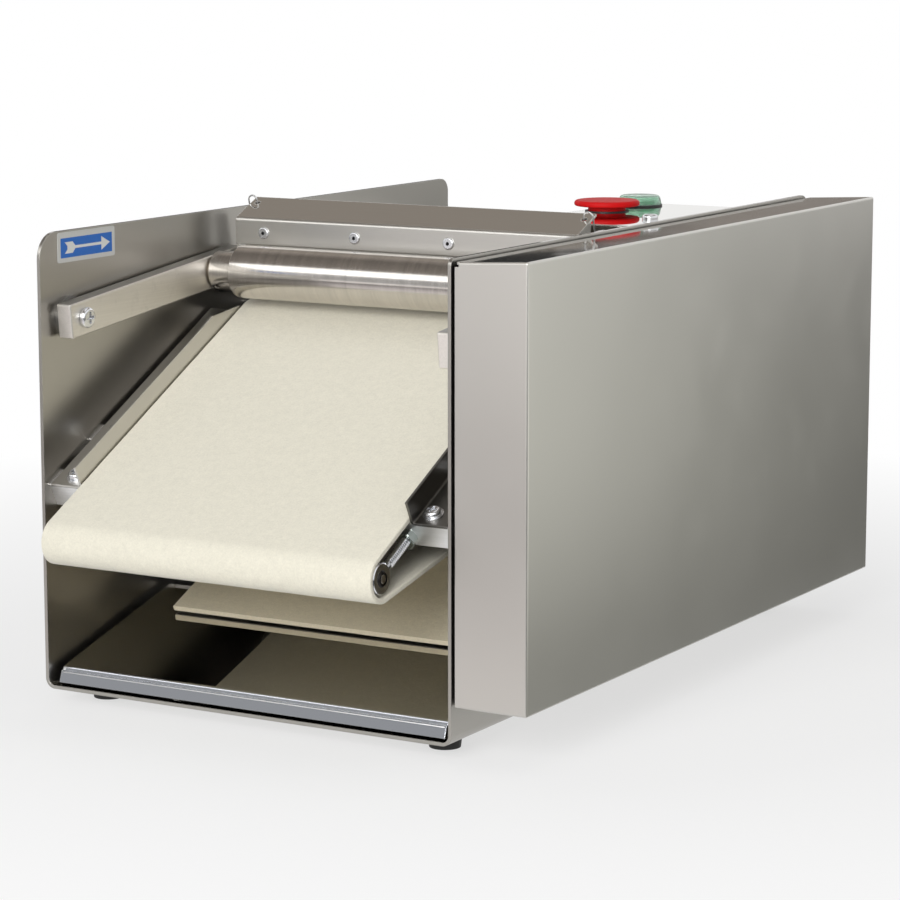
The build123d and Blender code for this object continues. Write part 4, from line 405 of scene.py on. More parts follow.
def drawn_bar(name, colour, roughness, steps, top=1.0, end=1.0):
    """Flat or square bar with drawing lines along one axis; its top is darkened by the factor top as painted
    shade and its end lightened by the factor end as a painted highlight.
    """
    made, paint = new_finish(name)
    facing = paint.facing()
    # Painted light by face direction: tops darkened by top as painted shade, ends lightened by end as a
    # painted highlight
    painted_light_by_face = ((facing[2] > BAR_TOP) * (top - 1.0) + 1.0) * ((facing[1] < BAR_END) * (end - 1.0) + 1.0)
    lines = paint.noise(steps, 3.0, 0.6)
    scuffs = paint.spread(paint.noise(even(0.012), 6.0, 0.7), 0.55, 0.75)
    shade = (1.0 + (lines - 0.5) * 0.20 - scuffs * 0.10) * painted_light_by_face
    gloss = roughness + (lines - 0.5) * 0.14 + scuffs * 0.12
    paint.surface(
        Base_Color=paint.shaded(rgba(colour), shade), Metallic=1.0, Roughness=gloss,
        Normal=paint.bump(lines, 0.00003, paint.soft_edges(0.0006), 0.6),
    )
    return made


def cast_metal(name, colour, metallic, roughness, grit, depth):
    """Cast or painted housing with a grainy skin."""
    made, paint = new_finish(name)
    skin = paint.noise(even(grit), 3.0, 0.6)
    clouds = paint.noise(even(0.03), 4.0, 0.6)
    shade = 0.9 + clouds * 0.2 + (skin - 0.5) * 0.1
    gloss = roughness + (clouds - 0.5) * 0.15
    paint.surface(
        Base_Color=paint.shaded(rgba(colour), shade), Metallic=metallic, Roughness=gloss,
        Normal=paint.bump(skin, depth, paint.soft_edges(0.0006), 0.7),
    )
    return made


def wool_felt(name, colour):
    """Pressed wool: matted fibres, faint mottling and stray darker hairs."""
    made, paint = new_finish(name)
    fibres = paint.noise(even(0.0011), 5.0, 0.7)
    tufts = paint.noise(even(0.0042), 4.0, 0.6)
    mottle = paint.noise(even(0.03), 4.0, 0.6)
    hairs = paint.spread(paint.noise((0.0007, 0.004, 0.0012), 4.0, 0.7), 0.63, 0.78)
    shade = 1.0 + (fibres - 0.5) * 0.30 + (tufts - 0.5) * 0.16 + (mottle - 0.5) * 0.08
    warm = paint.mix(paint.spread(mottle, 0.3, 0.7), rgba(colour), rgba(colour, 0.965))
    base = paint.shaded(warm, shade - hairs * 0.05)
    pile = paint.bump(tufts, 0.0005, None, 0.5)
    paint.surface(
        Base_Color=base, Roughness=0.92 + (fibres - 0.5) * 0.1,
        Normal=paint.bump(fibres, 0.00035, pile, 0.6),
        Sheen_Weight=0.25, Sheen_Roughness=0.5, Specular_IOR_Level=0.2,
    )
    return made


def moulded(name, colour, roughness, coat, grit=0.0009, depth=0.00003, specular=0.5):
    """Moulded plastic or rubber with a faint skin and handled gloss."""
    made, paint = new_finish(name)
    skin = paint.noise(even(grit), 3.0, 0.6)
    handled = paint.noise(even(0.009), 4.0, 0.6)
    shade = 0.92 + handled * 0.12 + (skin - 0.5) * 0.08
    gloss = roughness + (handled - 0.5) * 0.16
    paint.surface(
        Base_Color=paint.shaded(rgba(colour), shade), Roughness=gloss,
        Normal=paint.bump(skin, depth, paint.soft_edges(0.0004), 0.6),
        Coat_Weight=coat, Coat_Roughness=0.12, Specular_IOR_Level=specular,
    )
    return made


def clear_rubber(name, colour):
    """Soft clear rubber, a little clouded by handling."""
    made, paint = new_finish(name)
    clouds = paint.noise(even(0.004), 4.0, 0.6)
    paint.surface(
        Base_Color=paint.shaded(rgba(colour), 0.9 + clouds * 0.2), Roughness=0.16 + clouds * 0.14,
        Normal=paint.bump(clouds, 0.0002, None, 0.4),
        Transmission_Weight=0.85, IOR=1.41,
    )
    return made


def direction_label(name, node, blue, silver):
    """Printed film: silver rim, blue field and a plain fletched arrow to the back."""
    made, paint = new_finish(name)
    low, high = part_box(node)
    rim_side, rim_top, rim_foot = 0.0027, 0.0034, 0.0026
    y, z = paint.axes(paint.place())[1:]
    u = (y - (low.y + rim_side)) * (1.0 / (high.y - low.y - 2 * rim_side))
    v = (z - (low.z + rim_foot)) * (1.0 / (high.z - low.z - rim_top - rim_foot))
    off = abs(v - 0.5)
    field = (u > 0.0) * (u < 1.0) * (v > 0.0) * (v < 1.0)
    shaft = (off < 0.07) * (u > 0.13) * (u < 0.84)
    head = (off < (0.957 - u) * (0.35 / 0.167)) * (u > 0.79)
    tail = (off < 0.29) * (u > 0.15 - off * 0.24) * (u < 0.30 - off * 0.24)
    arrow = shaft | head | tail
    print_grain = paint.noise(even(0.0006), 2.0)
    printed = paint.mix(arrow, rgba(blue), rgba(silver, 1.25))
    paint.surface(
        Base_Color=paint.shaded(paint.mix(field, rgba(silver), printed), 0.95 + print_grain * 0.1),
        Roughness=0.34 + (print_grain - 0.5) * 0.1,
        Normal=paint.bump(paint.noise(even(0.011), 2.0), 0.0002, None, 0.3),
    )
    return made


def inlet_plastic(name, node):
    """Black inlet body whose three pins are bare nickel."""
    made, paint = new_finish(name)
    low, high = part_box(node)
    middle = (low + high) / 2
    x, y, z = paint.axes(paint.place())
    apart, offset, depth = 0.007, 0.002, 0.002
    half_width, half_height = 0.00115, 0.00235
    black, nickel = (0.018, 0.018, 0.019), (0.62, 0.60, 0.56)
    pins = 0.0
    for across, rise in ((-apart, -offset), (0.0, offset), (apart, -offset)):
        pin = (abs(x - (middle.x + across)) < half_width) * (abs(z - (middle.z + rise)) < half_height)
        pins = pin + pins
    pins = pins * (y > middle.y - depth)
    skin = paint.noise(even(0.0008), 3.0, 0.6)
    paint.surface(
        Base_Color=paint.mix(pins, rgba(black), rgba(nickel)),
        Metallic=pins, Roughness=0.42 - pins * 0.2 + (skin - 0.5) * 0.16,
        Normal=paint.bump(skin, 0.00004, None, 0.6),
    )
    return made


def bored_rivet(name, node, colour, head, bore, number):
    """Bright rivet heads in one evenly spaced row along X, each with its bore painted near black as painted
    shade.
    """
    made, paint = new_finish(name)
    low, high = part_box(node)
    # dark is painted shade for the inside of each bore, laid on by the mask below
    depth, dark = 0.002, (0.006, 0.006, 0.006)
    step = (high.x - low.x - 2 * head) / (number - 1)
    x, y, z = paint.axes(paint.place())
    steps = (x - (low.x + head)) * (1.0 / step) + 0.5
    across = (paint.node("ShaderNodeMath", {"operation": "FRACT"}, {0: steps}) - 0.5) * step
    rise = z - (low.z + high.z) / 2
    hole = (across * across + rise * rise < bore * bore) * (y < low.y + depth)
    clouds = paint.noise(even(0.002), 3.0, 0.6)
    paint.surface(
        Base_Color=paint.mix(hole, rgba(colour), rgba(dark)), Metallic=1.0 - hole,
        Roughness=0.26 + (clouds - 0.5) * 0.1 + hole * 0.4, Normal=paint.soft_edges(0.0003),
    )
    return made


def dress(finish, *names):
    """Puts one finish on CAD nodes that keep their shape."""
    for name in names:
        node = frame["nodes"][name]
        if not node.material_slots:
            raise RuntimeError("CAD node " + name + " has no material slot")
        for slot in node.material_slots:
            slot.material = finish


class Sweep:
    """A loop of edges that is carried along a path and leaves a skin behind."""

    def __init__(self, mesh, edges):
        self.mesh = mesh
        self.loop = self.with_ends(edges)

    def with_ends(self, edges):
        ends = {vert for edge in edges for vert in edge.verts}
        return list(edges) + list(ends)

    def turn(self, centre, axis, angle, steps, slide=NO_SLIDE):
        made = bmesh.ops.spin(
            self.mesh, geom=self.loop, cent=centre, axis=axis, angle=angle, steps=steps, dvec=slide / steps
        )
        last = [part for part in made["geom_last"] if isinstance(part, bmesh.types.BMEdge)]
        self.loop = self.with_ends(last)

    def straight(self, way, steps=1):
        self.turn(NO_SLIDE, ACROSS, 0.0, steps, way)


def close(mesh):
    """Joins points that meet, fills open ends and turns all faces outwards."""
    bmesh.ops.remove_doubles(mesh, verts=mesh.verts, dist=WELD)
    bmesh.ops.holes_fill(mesh, edges=mesh.edges, sides=0)
    bmesh.ops.recalc_face_normals(mesh, faces=mesh.faces)


def placed(name, data):
    """New object at the origin, in the scene."""
    made = bpy.data.objects.new(name, data)
    bpy.context.scene.collection.objects.link(made)
    return made


def mesh_data(mesh, name, finish):
    data = bpy.data.meshes.new(name)
    mesh.to_mesh(data)
    mesh.free()
    data.materials.append(finish)
    return data


def finished_piece(mesh, name, finish):
    """Closes the mesh and makes it a smooth object at the origin."""
    close(mesh)
    data = mesh_data(mesh, name, finish)
    data.shade_smooth()
    data.set_sharp_from_angle(angle=SHARP)
    return placed(name, data)


def felt_section(mesh, low_x, high_x, origin, up, thickness, rounding, cuts):
    """Outline of a felt band across X, rounded at its corners and cut finely along its faces."""
    corners = [(low_x, 0.0), (high_x, 0.0), (high_x, thickness), (low_x, thickness)]
    verts = [mesh.verts.new(origin + up * rise + ACROSS * (x - origin.x)) for x, rise in corners]
    mesh.faces.new(verts)
    bmesh.ops.bevel(
        mesh, geom=verts, offset=rounding, segments=3, profile=0.5, affect="VERTICES", material=-1
    )
    bmesh.ops.delete(mesh, geom=mesh.faces[:], context="FACES_ONLY")
    wide = [edge for edge in mesh.edges if edge.calc_length() > (high_x - low_x) / 2]
    bmesh.ops.subdivide_edges(mesh, edges=wide, cuts=cuts)
    return mesh.edges[:]


def swell_felt(mesh, height):
    """Lets the felt's surface swell and sink a little, the same way each time."""
    mesh.normal_update()
    for vert in mesh.verts:
        wave = noise.noise(vert.co * 55.0) * 0.6 + noise.noise(vert.co * 190.0) * 0.4
        vert.co += vert.normal * wave * height


class MACHINE_OT_felt_belt(bpy.types.Operator):
    """Endless felt belt round the nose roller and the drive roller"""

    bl_idname = "machine.felt_belt"
    bl_label = "Felt belt"

    def execute(self, context):
        felt = context.scene.machine_felt
        low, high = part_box("felt_belt")
        nose = Vector(JOINTS["nose_spin"]["pos_m"])
        drive = Vector(JOINTS["drive_spin"]["pos_m"])
        small = nose.y - low.y
        large = high.y - drive.y
        way = drive - nose
        way.x = 0.0
        pitch = atan2(way.z, way.y)
        spread = asin((large - small) / way.length)
        rise = pitch + spread
        fall = pitch - spread
        up = Vector((0.0, -sin(rise), cos(rise)))
        run = (way.length ** 2 - (large - small) ** 2) ** 0.5
        mesh = bmesh.new()
        origin = Vector((low.x, nose.y, nose.z)) + up * (small - felt.belt)
        edges = felt_section(mesh, low.x, high.x, origin, up, felt.belt, felt.rounding, felt.cuts)
        belt = Sweep(mesh, edges)
        belt.straight(Vector((0.0, cos(rise), sin(rise))) * run, felt.run_steps)
        belt.turn(drive, ACROSS, -(pi + 2 * spread), felt.drive_steps)
        belt.straight(Vector((0.0, -cos(fall), -sin(fall))) * run, felt.run_steps)
        belt.turn(nose, ACROSS, -(pi - 2 * spread), felt.nose_steps)
        close(mesh)
        swell_felt(mesh, felt.nap)
        piece = finished_piece(mesh, "belt_felt", wool_felt("belt wool felt", felt.colour))
        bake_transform(piece)
        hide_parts("felt_belt")
        return {"FINISHED"}


class MACHINE_OT_forming_felt(bpy.types.Operator):
    """Felt that lines the forming board under the belt"""

    bl_idname = "machine.forming_felt"
    bl_label = "Forming felt"

    def execute(self, context):
        felt = context.scene.machine_felt
        low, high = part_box("forming_felt")
        up = Vector((0.0, -sin(felt.slope), cos(felt.slope)))
        way = Vector((0.0, cos(felt.slope), sin(felt.slope)))
        origin = Vector((low.x, low.y + felt.board * sin(felt.slope), low.z))
        sweep_angle = pi / 2 - felt.slope
        to_corner = (high.y - origin.y) / cos(felt.slope)
        front = to_corner - felt.bend * tan(sweep_angle / 2)
        tip = origin - way * felt.lap
        mesh = bmesh.new()
        edges = felt_section(mesh, low.x, high.x, tip, up, felt.board, felt.rounding, felt.cuts)
        board = Sweep(mesh, edges)
        board.straight(way * felt.lap)
        board.straight(way * front, felt.slope_steps)
        board.turn(origin + way * front + up * felt.bend, ACROSS, sweep_angle, felt.bend_steps)
        bend_top = origin.z + to_corner * sin(felt.slope) + felt.bend * tan(sweep_angle / 2)
        upright = high.z - bend_top
        board.straight(UPWARDS * upright, felt.upright_steps)
        close(mesh)
        under = [
            vert for vert in mesh.verts
            if (vert.co - tip).dot(way) < felt.lap / 2 and (vert.co - tip).dot(up) < felt.board / 2
        ]
        bmesh.ops.translate(mesh, verts=under, vec=up * -felt.droop)
        swell_felt(mesh, felt.nap)
        # The lining felt carries painted light in its warmer, brighter colour
        piece = finished_piece(mesh, "board_felt", wool_felt("lining felt with painted light", felt.lining))
        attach(piece, "frame")
        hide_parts("forming_felt")
        return {"FINISHED"}


class MACHINE_OT_arm_springs(bpy.types.Operator):
    """Two close-wound springs that pull the roller arms down"""

    bl_idname = "machine.arm_springs"
    bl_label = "Arm springs"

    def execute(self, context):
        settings = context.scene.machine_springs
        pins_low, pins_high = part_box("spring_pins")
        left_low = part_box("left_spring")[0]
        middle = (pins_low + pins_high) / 2
        pin_radius = (pins_high.y - pins_low.y) / 2 - settings.pin_head
        up = Vector((0.0, -sin(settings.tilt), cos(settings.tilt)))
        side = ACROSS.cross(up)
        pin = Vector((left_low.x + settings.coil + settings.wire / 2, middle.y, middle.z))

        def spot(across, rise, out):
            return pin + ACROSS * across + up * rise + side * out

        finish = drawn_bar("spring steel", settings.colour, 0.28, even(0.0008))
        coil, bend, hook = settings.coil, settings.bend, settings.hook
        low = coil - pin_radius - settings.play - settings.wire / 2
        top = settings.span - settings.head
        rise = settings.span + settings.over
        for name, node, mirrored in (
            ("spring_left", "left_spring", False), ("spring_right", "right_spring", True),
        ):
            mesh = bmesh.new()
            upright = up.to_track_quat("Z", "X").to_matrix().to_4x4()
            start = Matrix.Translation(spot(bend, low + settings.tail, -coil)) @ upright
            bmesh.ops.create_circle(mesh, segments=settings.sides, radius=settings.wire / 2, matrix=start)
            wire = Sweep(mesh, mesh.edges[:])
            wire.straight(up * -settings.tail, 2)
            wire.turn(spot(bend, low, 0.0), -ACROSS, pi, settings.hook_steps)
            wire.straight(up * (settings.foot - bend - low), 2)
            wire.turn(spot(0.0, settings.foot - bend, coil), side, pi / 2, settings.bend_steps)
            steps = int(settings.turns * settings.turn_steps)
            wire.turn(pin, -up, settings.turns * 2 * pi, steps, up * (top - settings.foot))
            wire.turn(spot(coil, top + bend, 0.0), -ACROSS, pi / 2, settings.bend_steps)
            wire.straight(up * (rise - top - bend), 3)
            wire.turn(spot(coil + hook, rise, bend), -side, pi, settings.hook_steps)
            wire.straight(up * -settings.tip, 2)
            if mirrored:
                bmesh.ops.scale(
                    mesh, vec=(-1.0, 1.0, 1.0), verts=mesh.verts,
                    space=Matrix.Translation((-middle.x, 0.0, 0.0)),
                )
            piece = finished_piece(mesh, name, finish)
            spot(0.0, settings.foot, 0.0)
            spot(0.0, top, 0.0)
            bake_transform(piece)
            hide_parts(node)
        return {"FINISHED"}


class MACHINE_OT_start_boot(bpy.types.Operator):
    """Clear rubber boot over the start button"""

    bl_idname = "machine.start_boot"
    bl_label = "Start boot"

    def execute(self, context):
        settings = context.scene.machine_controls
        low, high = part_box("start_boot")
        middle = (low + high) / 2
        radius = (high.x - low.x) / 2
        height = high.z - low.z
        foot = Vector((middle.x, middle.y, low.z))
        mesh = bmesh.new()
        outline = [(radius, 0.0), (radius - settings.taper, height), (0.0, height)]
        verts = [mesh.verts.new(foot + ACROSS * out + UPWARDS * rise) for out, rise in outline]
        for pair in zip(verts, verts[1:]):
            mesh.edges.new(pair)
        bmesh.ops.bevel(
            mesh, geom=verts[1:2], offset=settings.shoulder, segments=6, profile=0.5, affect="VERTICES",
            material=-1,
        )
        bmesh.ops.spin(
            mesh, geom=mesh.verts[:] + mesh.edges[:], cent=foot, axis=UPWARDS, angle=2 * pi,
            steps=settings.boot_steps, use_merge=True,
        )
        bmesh.ops.remove_doubles(mesh, verts=mesh.verts, dist=WELD)
        bmesh.ops.recalc_face_normals(mesh, faces=mesh.faces)
        bmesh.ops.solidify(mesh, geom=mesh.faces[:], thickness=settings.wall)
        piece = finished_piece(mesh, "boot_clear", clear_rubber("clear rubber", settings.boot))
        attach(piece, "frame")
        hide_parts("start_boot")
        return {"FINISHED"}


class MACHINE_OT_hem_edge(bpy.types.Operator):
    """Bright bar on the hem of the chute's front lip, a painted highlight along the hem's folded edge"""

    bl_idname = "machine.hem_edge"
    bl_label = "Hem edge"

    def execute(self, context):
        steel = context.scene.machine_steel
        low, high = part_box("chute")
        along = Vector((0.0, sin(steel.hem_lean), cos(steel.hem_lean)))
        middle = Vector(((low.x + high.x) / 2, low.y, low.z + steel.hem_rise)) + along * steel.hem_lip
        mesh = bmesh.new()
        bmesh.ops.create_cube(mesh, size=1.0)
        size = (high.x - low.x - 4 * steel.hem_edge, steel.hem_edge, steel.hem_edge)
        bmesh.ops.scale(mesh, verts=mesh.verts, vec=size)
        bmesh.ops.bevel(
            mesh, geom=mesh.edges[:], offset=steel.hem_edge * steel.hem_rounding, segments=3, profile=0.5,
            affect="EDGES", material=-1,
        )
        lean = Matrix.Rotation(-steel.hem_lean, 3, "X")
        bmesh.ops.rotate(mesh, verts=mesh.verts, matrix=lean)
        bmesh.ops.translate(mesh, verts=mesh.verts, vec=middle)
        # Near-white bar as a painted highlight on the hem's edge
        piece = finished_piece(mesh, "hem_edge", plated("painted_highlight edge", steel.hem_edge_highlight, 0.3))
        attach(piece, "frame")
        return {"FINISHED"}


class MACHINE_OT_sheet_metal(bpy.types.Operator):
    """Satin stainless sheet of the frame, covers, hood, guides and chute"""

    bl_idname = "machine.sheet_metal"
    bl_label = "Sheet metal"

    def execute(self, context):
        steel = context.scene.machine_steel
        gloss = steel.sheet_roughness
        lines = ((steel.stroke, steel.grain, steel.grain), steel.contrast)
        covers = satin_sheet("satin cover sheet", steel.sheet, gloss)
        dress(covers, "transmission_cover", "rear_panel", "brackets", "left_guide")
        dress(satin_sheet("ground frame sheet", steel.panel, gloss), "frame_shell", "scraper_blade")
        # The right guide is the same steel darkened as painted shade
        dress(satin_sheet("dark guide sheet", steel.guide, gloss), "right_guide")
        dress(satin_sheet("ground sheet across", steel.sheet, gloss, lines), "hood", "bed_plate")
        # The chute's front faces take the hem colour as a painted reflection tint
        chute = satin_sheet("smooth chute sheet", steel.sheet, steel.chute_roughness, front=steel.hem)
        dress(chute, "chute")
        dress(satin_sheet("board sheet", steel.sheet, steel.board_roughness, lines), "forming_board")
        polished = satin_sheet("polished sheet", steel.sheet, steel.polished_roughness)
        dress(polished, "top_cover", "switch_shelf")
        return {"FINISHED"}


class MACHINE_OT_rollers(bpy.types.Operator):
    """Turned steel of the upper roller, the drive roller and the nose roller"""

    bl_idname = "machine.rollers"
    bl_label = "Rollers"

    def execute(self, context):
        steel = context.scene.machine_steel
        ground = turned_steel("turned roller steel", steel.roller, steel.roller_roughness, steel.ring)
        dress(ground, "steel_roller", "drive_roller", "nose_roller")
        return {"FINISHED"}


class MACHINE_OT_arms_bars(bpy.types.Operator):
    """Milled arms, their bushes, and the drawn cross bars"""

    bl_idname = "machine.arms_bars"
    bl_label = "Arms and bars"

    def execute(self, context):
        steel = context.scene.machine_steel
        # The arms' tops get painted shade (0.42) and their sawn ends a painted highlight (1.3)
        arms = drawn_bar("milled arm steel", steel.arm, 0.37, (0.0008, 0.06, 0.0009), top=0.42, end=1.3)
        dress(arms, "left_arm", "right_arm")
        bars = drawn_bar("drawn aluminium bar", steel.bar, 0.38, (0.05, 0.0008, 0.0008))
        dress(bars, "front_cross_bar", "rear_cross_bar", "board_bars")
        # Bronze bushes, darkened as painted shade
        dress(plated("oiled bronze bush", steel.painted_shade_bush, 0.4), "arm_bushes")
        return {"FINISHED"}


class MACHINE_OT_hardware(bpy.types.Operator):
    """Zinc-plated screws, nuts, pins and rod ends with their black balls"""

    bl_idname = "machine.hardware"
    bl_label = "Hardware"

    def execute(self, context):
        steel = context.scene.machine_steel
        zinc = plated("bright zinc", steel.zinc, 0.2)
        dress(
            zinc, "panel_screws", "foot_screws", "pivot_screws", "stop_pins",
            "hood_screws", "hood_spacers", "spring_pins", "motor_screws", "guide_screws", "tie_screws",
        )
        dress(plated("passivated zinc", steel.nut, 0.2), "hex_nuts")
        # Pivot spacers darkened as painted shade
        dress(plated("dull spacer", steel.painted_shade_spacer, 0.38), "pivot_spacers")
        dress(plated("threaded zinc", steel.zinc, 0.18, edge=0.00008), "rod_ends")
        rivets = bored_rivet(
            "bored rivet", "hood_rivets", steel.zinc, steel.rivet_head, steel.rivet_bore, steel.rivets
        )
        dress(rivets, "hood_rivets")
        dress(plated("black oxide", steel.oxide, 0.3), "rod_end_balls")
        return {"FINISHED"}


class MACHINE_OT_drive_train(bpy.types.Operator):
    """Gears, shafts, bearings, gearbox and motor"""

    bl_idname = "machine.drive_train"
    bl_label = "Drive train"

    def execute(self, context):
        steel = context.scene.machine_steel
        gears = drawn_bar("oiled gear steel", steel.gear, 0.3, (0.0012, 0.02, 0.02))
        dress(gears, "upper_gear", "drive_gear", "idler_gear", "motor_pinion", "idler_axle", "motor_shaft")
        cast = cast_metal("cast aluminium", steel.casting, 1.0, 0.5, grit=0.0016, depth=0.00015)
        dress(cast, "drive_bearings", "gearbox")
        dress(cast_metal("motor paint", steel.paint, 0.0, 0.42, grit=0.0012, depth=0.0001), "motor")
        return {"FINISHED"}


class MACHINE_OT_controls(bpy.types.Operator):
    """Emergency stop, start button, their bases and the power inlet"""

    bl_idname = "machine.controls"
    bl_label = "Controls"

    def execute(self, context):
        settings = context.scene.machine_controls
        red = moulded("stop cap red", settings.stop, 0.5, 0.0, specular=0.12)
        dress(red, "estop_cap", "estop_stem")
        dress(moulded("start button green", settings.start, 0.34, 0.2), "start_button")
        black = moulded("switch black", settings.base, 0.42, 0.05)
        dress(black, "estop_base", "start_base")
        dress(inlet_plastic("inlet black", "power_inlet"), "power_inlet")
        return {"FINISHED"}


class MACHINE_OT_label(bpy.types.Operator):
    """Direction label on the inside of the left panel"""

    bl_idname = "machine.label"
    bl_label = "Direction label"

    def execute(self, context):
        settings = context.scene.machine_controls
        dress(direction_label("label film", "arrow_label", settings.blue, settings.silver), "arrow_label")
        return {"FINISHED"}


class MACHINE_OT_feet(bpy.types.Operator):
    """Black rubber feet"""

    bl_idname = "machine.feet"
    bl_label = "Feet"

    def execute(self, context):
        settings = context.scene.machine_controls
        rubber = moulded("foot rubber", settings.foot, 0.7, 0.0, grit=0.0007, depth=0.00008)
        dress(rubber, "rubber_feet")
        return {"FINISHED"}


def seen_rays(paint):
    """1 on rays from the camera, and on those mirrored or let through."""
    rays = paint.node("ShaderNodeLightPath").link.node.outputs
    seen = [Socket(paint, rays[name]) for name in ("Is Camera Ray", "Is Glossy Ray", "Is Transmission Ray")]
    return seen[0] | seen[1] | seen[2]


def stage_sheet(name, corner, first, second, finish):
    """Flat sheet of the stage from one corner along two edges."""
    mesh = bmesh.new()
    corner, first, second = Vector(corner), Vector(first), Vector(second)
    start = [mesh.verts.new(corner), mesh.verts.new(corner + first)]
    mesh.edges.new(start)
    sheet = Sweep(mesh, mesh.edges[:])
    sheet.straight(second)
    made = placed(name, mesh_data(mesh, name, finish))
    return made


def toned(paint, axis, tones):
    """Row of tones along an axis, each given with its place."""
    sockets = {0: paint.place(), 1: axis}
    place = paint.node("ShaderNodeVectorMath", {"operation": "DOT_PRODUCT"}, sockets, "Value")
    row = tones[0][1]
    for (low, before), (high, after) in zip(tones, tones[1:]):
        row = row + paint.spread(place, low, high, 0.0, after - before)
    return row


def mirror_card(name, corner, first, second, colour, least, *rows):
    """Card that only mirrored rays meet: its least tone and the product of its rows of tones."""
    made, paint = new_finish(name)
    level = 1.0
    for axis, tones in rows:
        level = level * toned(paint, axis, tones)
    glow = paint.node("ShaderNodeEmission", None, {"Color": rgba(colour), "Strength": level + least})
    paint.node("ShaderNodeOutputMaterial", None, {"Surface": glow})
    card = stage_sheet(name, corner, first, second, made)
    card.visible_camera = False
    card.visible_diffuse = False
    card.visible_shadow = False
    card.visible_transmission = False


def softbox(name, place, aim, width, height, power):
    lamp = bpy.data.lights.new(name, "AREA")
    lamp.shape = "RECTANGLE"
    lamp.size, lamp.size_y, lamp.energy = width, height, power
    light = placed(name, lamp)
    light.location = place
    light.rotation_euler = (Vector(aim) - Vector(place)).to_track_quat("-Z", "Y").to_euler()


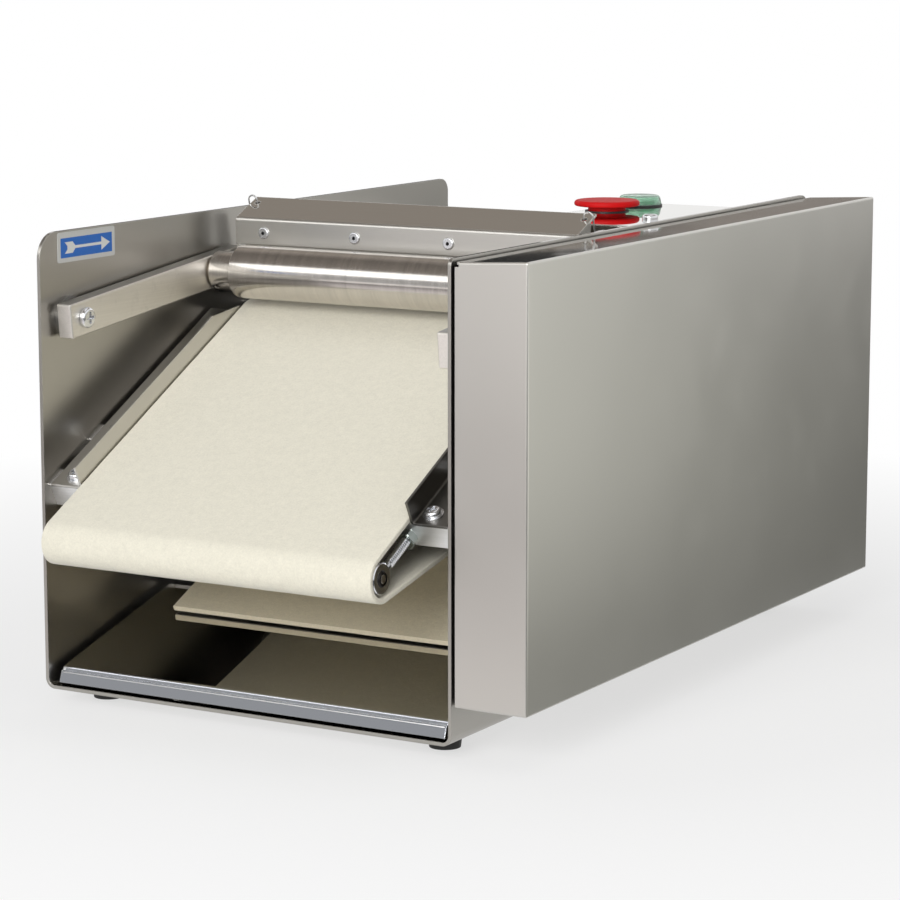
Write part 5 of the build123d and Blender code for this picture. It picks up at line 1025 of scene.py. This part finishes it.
class MACHINE_OT_stage(bpy.types.Operator):
    """Pale floor, soft light, mirrored cards and the camera"""

    bl_idname = "machine.stage"
    bl_label = "Stage"

    def execute(self, context):
        stage = context.scene.machine_stage
        scene = context.scene
        scene.view_settings.view_transform = "Standard"
        made, paint = new_finish("pale floor")
        ground = paint.node("ShaderNodeBsdfDiffuse", None, {"Color": rgba(stage.floor)})
        white = paint.node("ShaderNodeEmission", None, {"Color": WHITE, "Strength": 1.0})
        away = paint.node("ShaderNodeVectorMath", {"operation": "LENGTH"}, {0: paint.place()}, "Value")
        glow = seen_rays(paint) * paint.spread(away, stage.near, stage.far, stage.least, 1.0)
        floor = paint.node("ShaderNodeMixShader", None, {0: glow, 1: ground, 2: white})
        paint.node("ShaderNodeOutputMaterial", None, {"Surface": floor})
        stage_sheet("floor", (-4.0, -4.0, -0.0003), (8.0, 0.0, 0.0), (0.0, 8.0, 0.0), made)

        world = bpy.data.worlds.new("soft room")
        scene.world = world
        paint = Paint(world)
        seen = seen_rays(paint)
        level = stage.ambient + seen * (1.0 - stage.ambient)
        room = paint.node("ShaderNodeBackground", None, {"Color": WHITE, "Strength": level})
        paint.node("ShaderNodeOutputWorld", None, {"Surface": room})

        softbox("key", (0.4, -2.45, 1.1), (0.0, -0.05, 0.12), 1.6, 1.2, stage.key)
        softbox("top", (0.1, 0.1, 1.8), (0.0, 0.0, 0.1), 1.4, 1.2, stage.top)

        along, deep, tall = (1.0, 0.0, 0.0), (0.0, 1.0, 0.0), (0.0, 0.0, 1.0)
        plain, rosy = (1.0, 1.0, 1.0), (1.0, 0.95, 0.95)
        olive, warm = (0.99, 1.0, 0.93), (1.0, 0.90, 0.81)
        mirror_card(
            "card_dark", (-3.0, 1.9, 0.0), (2.02, 0.0, 0.0), (0.0, 0.0, 0.72), plain, 0.02,
            (along, ((-1.1, 0.0), (-0.98, 0.02))),
        )
        mirror_card(
            "card_back", (-0.98, 1.9, 0.0), (1.6, 0.0, 0.0), (0.0, 0.0, 0.43), warm, 0.0,
            (along, ((-0.93, 0.04), (-0.89, 0.12), (-0.75, 0.25))),
        )
        mirror_card(
            "card_right", (0.19, -0.3, 0.001), (2.6, 0.0, 0.0), (0.0, 3.6, 0.0), olive, 0.16,
            ((0.864, -0.503, 0.0), ((-0.03, -0.12), (0.03, 0.07), (0.14, 0.38), (0.225, 0.80), (0.27, 1.05))),
            (along, ((0.30, 0.16), (0.62, 0.72), (0.90, 1.0))),
        )
        mirror_card(
            "card_near", (0.2, -2.4, 0.001), (2.4, 0.0, 0.0), (0.0, 2.09, 0.0), plain, 0.0,
            (deep, ((-2.4, 0.06), (-0.3, 0.1))),
        )
        mirror_card(
            "card_front", (-2.4, -2.2, 0.001), (2.52, 0.0, 0.0), (0.0, 1.9, 0.0), rosy, 0.0,
            (deep, ((-1.7, 2.4), (-1.45, 0.60), (-1.3, 0.25), (-0.9, 0.28), (-0.35, 0.66))),
            (along, ((-0.72, 0.7), (-0.50, 1.4))),
        )
        mirror_card(
            "card_wall", (-4.0, -3.2, 0.0), (6.0, 0.0, 0.0), (0.0, 0.0, 3.0), plain, 0.0,
            (tall, ((0.0, 0.5), (2.0, 0.46))),
        )
        mirror_card(
            "card_strip", (-0.95, -0.8, 0.5), (1.6, 0.0, 0.0), (0.0, 0.0, 0.42), plain, 0.0,
            (tall, ((0.50, 2.4), (0.90, 2.0))),
        )
        mirror_card(
            "card_ceiling", (-3.0, -3.0, 2.6), (5.0, 0.0, 0.0), (0.0, 6.0, 0.0), warm, 0.0,
            (deep, ((-3.0, 0.30), (0.2, 0.18), (1.3, 0.38), (3.0, 0.28))),
        )

        lens = bpy.data.cameras.new("camera")
        lens.lens = stage.lens
        lens.sensor_width = 36.0
        lens.clip_start = 0.05
        camera = placed("camera", lens)
        camera.location = stage.place
        camera.rotation_euler = stage.turn
        scene.camera = camera
        return {"FINISHED"}


OPERATORS = (
    MACHINE_OT_felt_belt, MACHINE_OT_forming_felt, MACHINE_OT_arm_springs, MACHINE_OT_start_boot,
    MACHINE_OT_hem_edge, MACHINE_OT_sheet_metal, MACHINE_OT_rollers, MACHINE_OT_arms_bars,
    MACHINE_OT_hardware, MACHINE_OT_drive_train, MACHINE_OT_controls, MACHINE_OT_label, MACHINE_OT_feet,
    MACHINE_OT_stage,
)


class MACHINE_PT_build(bpy.types.Panel):
    """Lists the machine's pieces in the order they are made"""

    bl_idname = "MACHINE_PT_build"
    bl_label = "Croissant rolling machine"
    bl_space_type = "VIEW_3D"
    bl_region_type = "UI"
    bl_category = "Machine"

    def draw(self, context):
        for operator in OPERATORS:
            self.layout.operator(operator.bl_idname)


SETTINGS = {
    "machine_felt": FeltSettings,
    "machine_steel": SteelSettings,
    "machine_springs": SpringSettings,
    "machine_controls": ControlSettings,
    "machine_stage": StageSettings,
}


def register():
    for name, group in SETTINGS.items():
        bpy.utils.register_class(group)
        setattr(bpy.types.Scene, name, PointerProperty(type=group))
    for operator in OPERATORS:
        bpy.utils.register_class(operator)
    bpy.utils.register_class(MACHINE_PT_build)


def unregister():
    bpy.utils.unregister_class(MACHINE_PT_build)
    for operator in reversed(OPERATORS):
        bpy.utils.unregister_class(operator)
    for name, group in SETTINGS.items():
        delattr(bpy.types.Scene, name)
        bpy.utils.unregister_class(group)


def main():
    register()
    bpy.ops.machine.felt_belt()
    bpy.ops.machine.forming_felt()
    bpy.ops.machine.arm_springs()
    bpy.ops.machine.start_boot()
    bpy.ops.machine.hem_edge()
    bpy.ops.machine.sheet_metal()
    bpy.ops.machine.rollers()
    bpy.ops.machine.arms_bars()
    bpy.ops.machine.hardware()
    bpy.ops.machine.drive_train()
    bpy.ops.machine.controls()
    bpy.ops.machine.label()
    bpy.ops.machine.feet()
    bpy.ops.machine.stage()


if __name__ == "__main__":
    main()
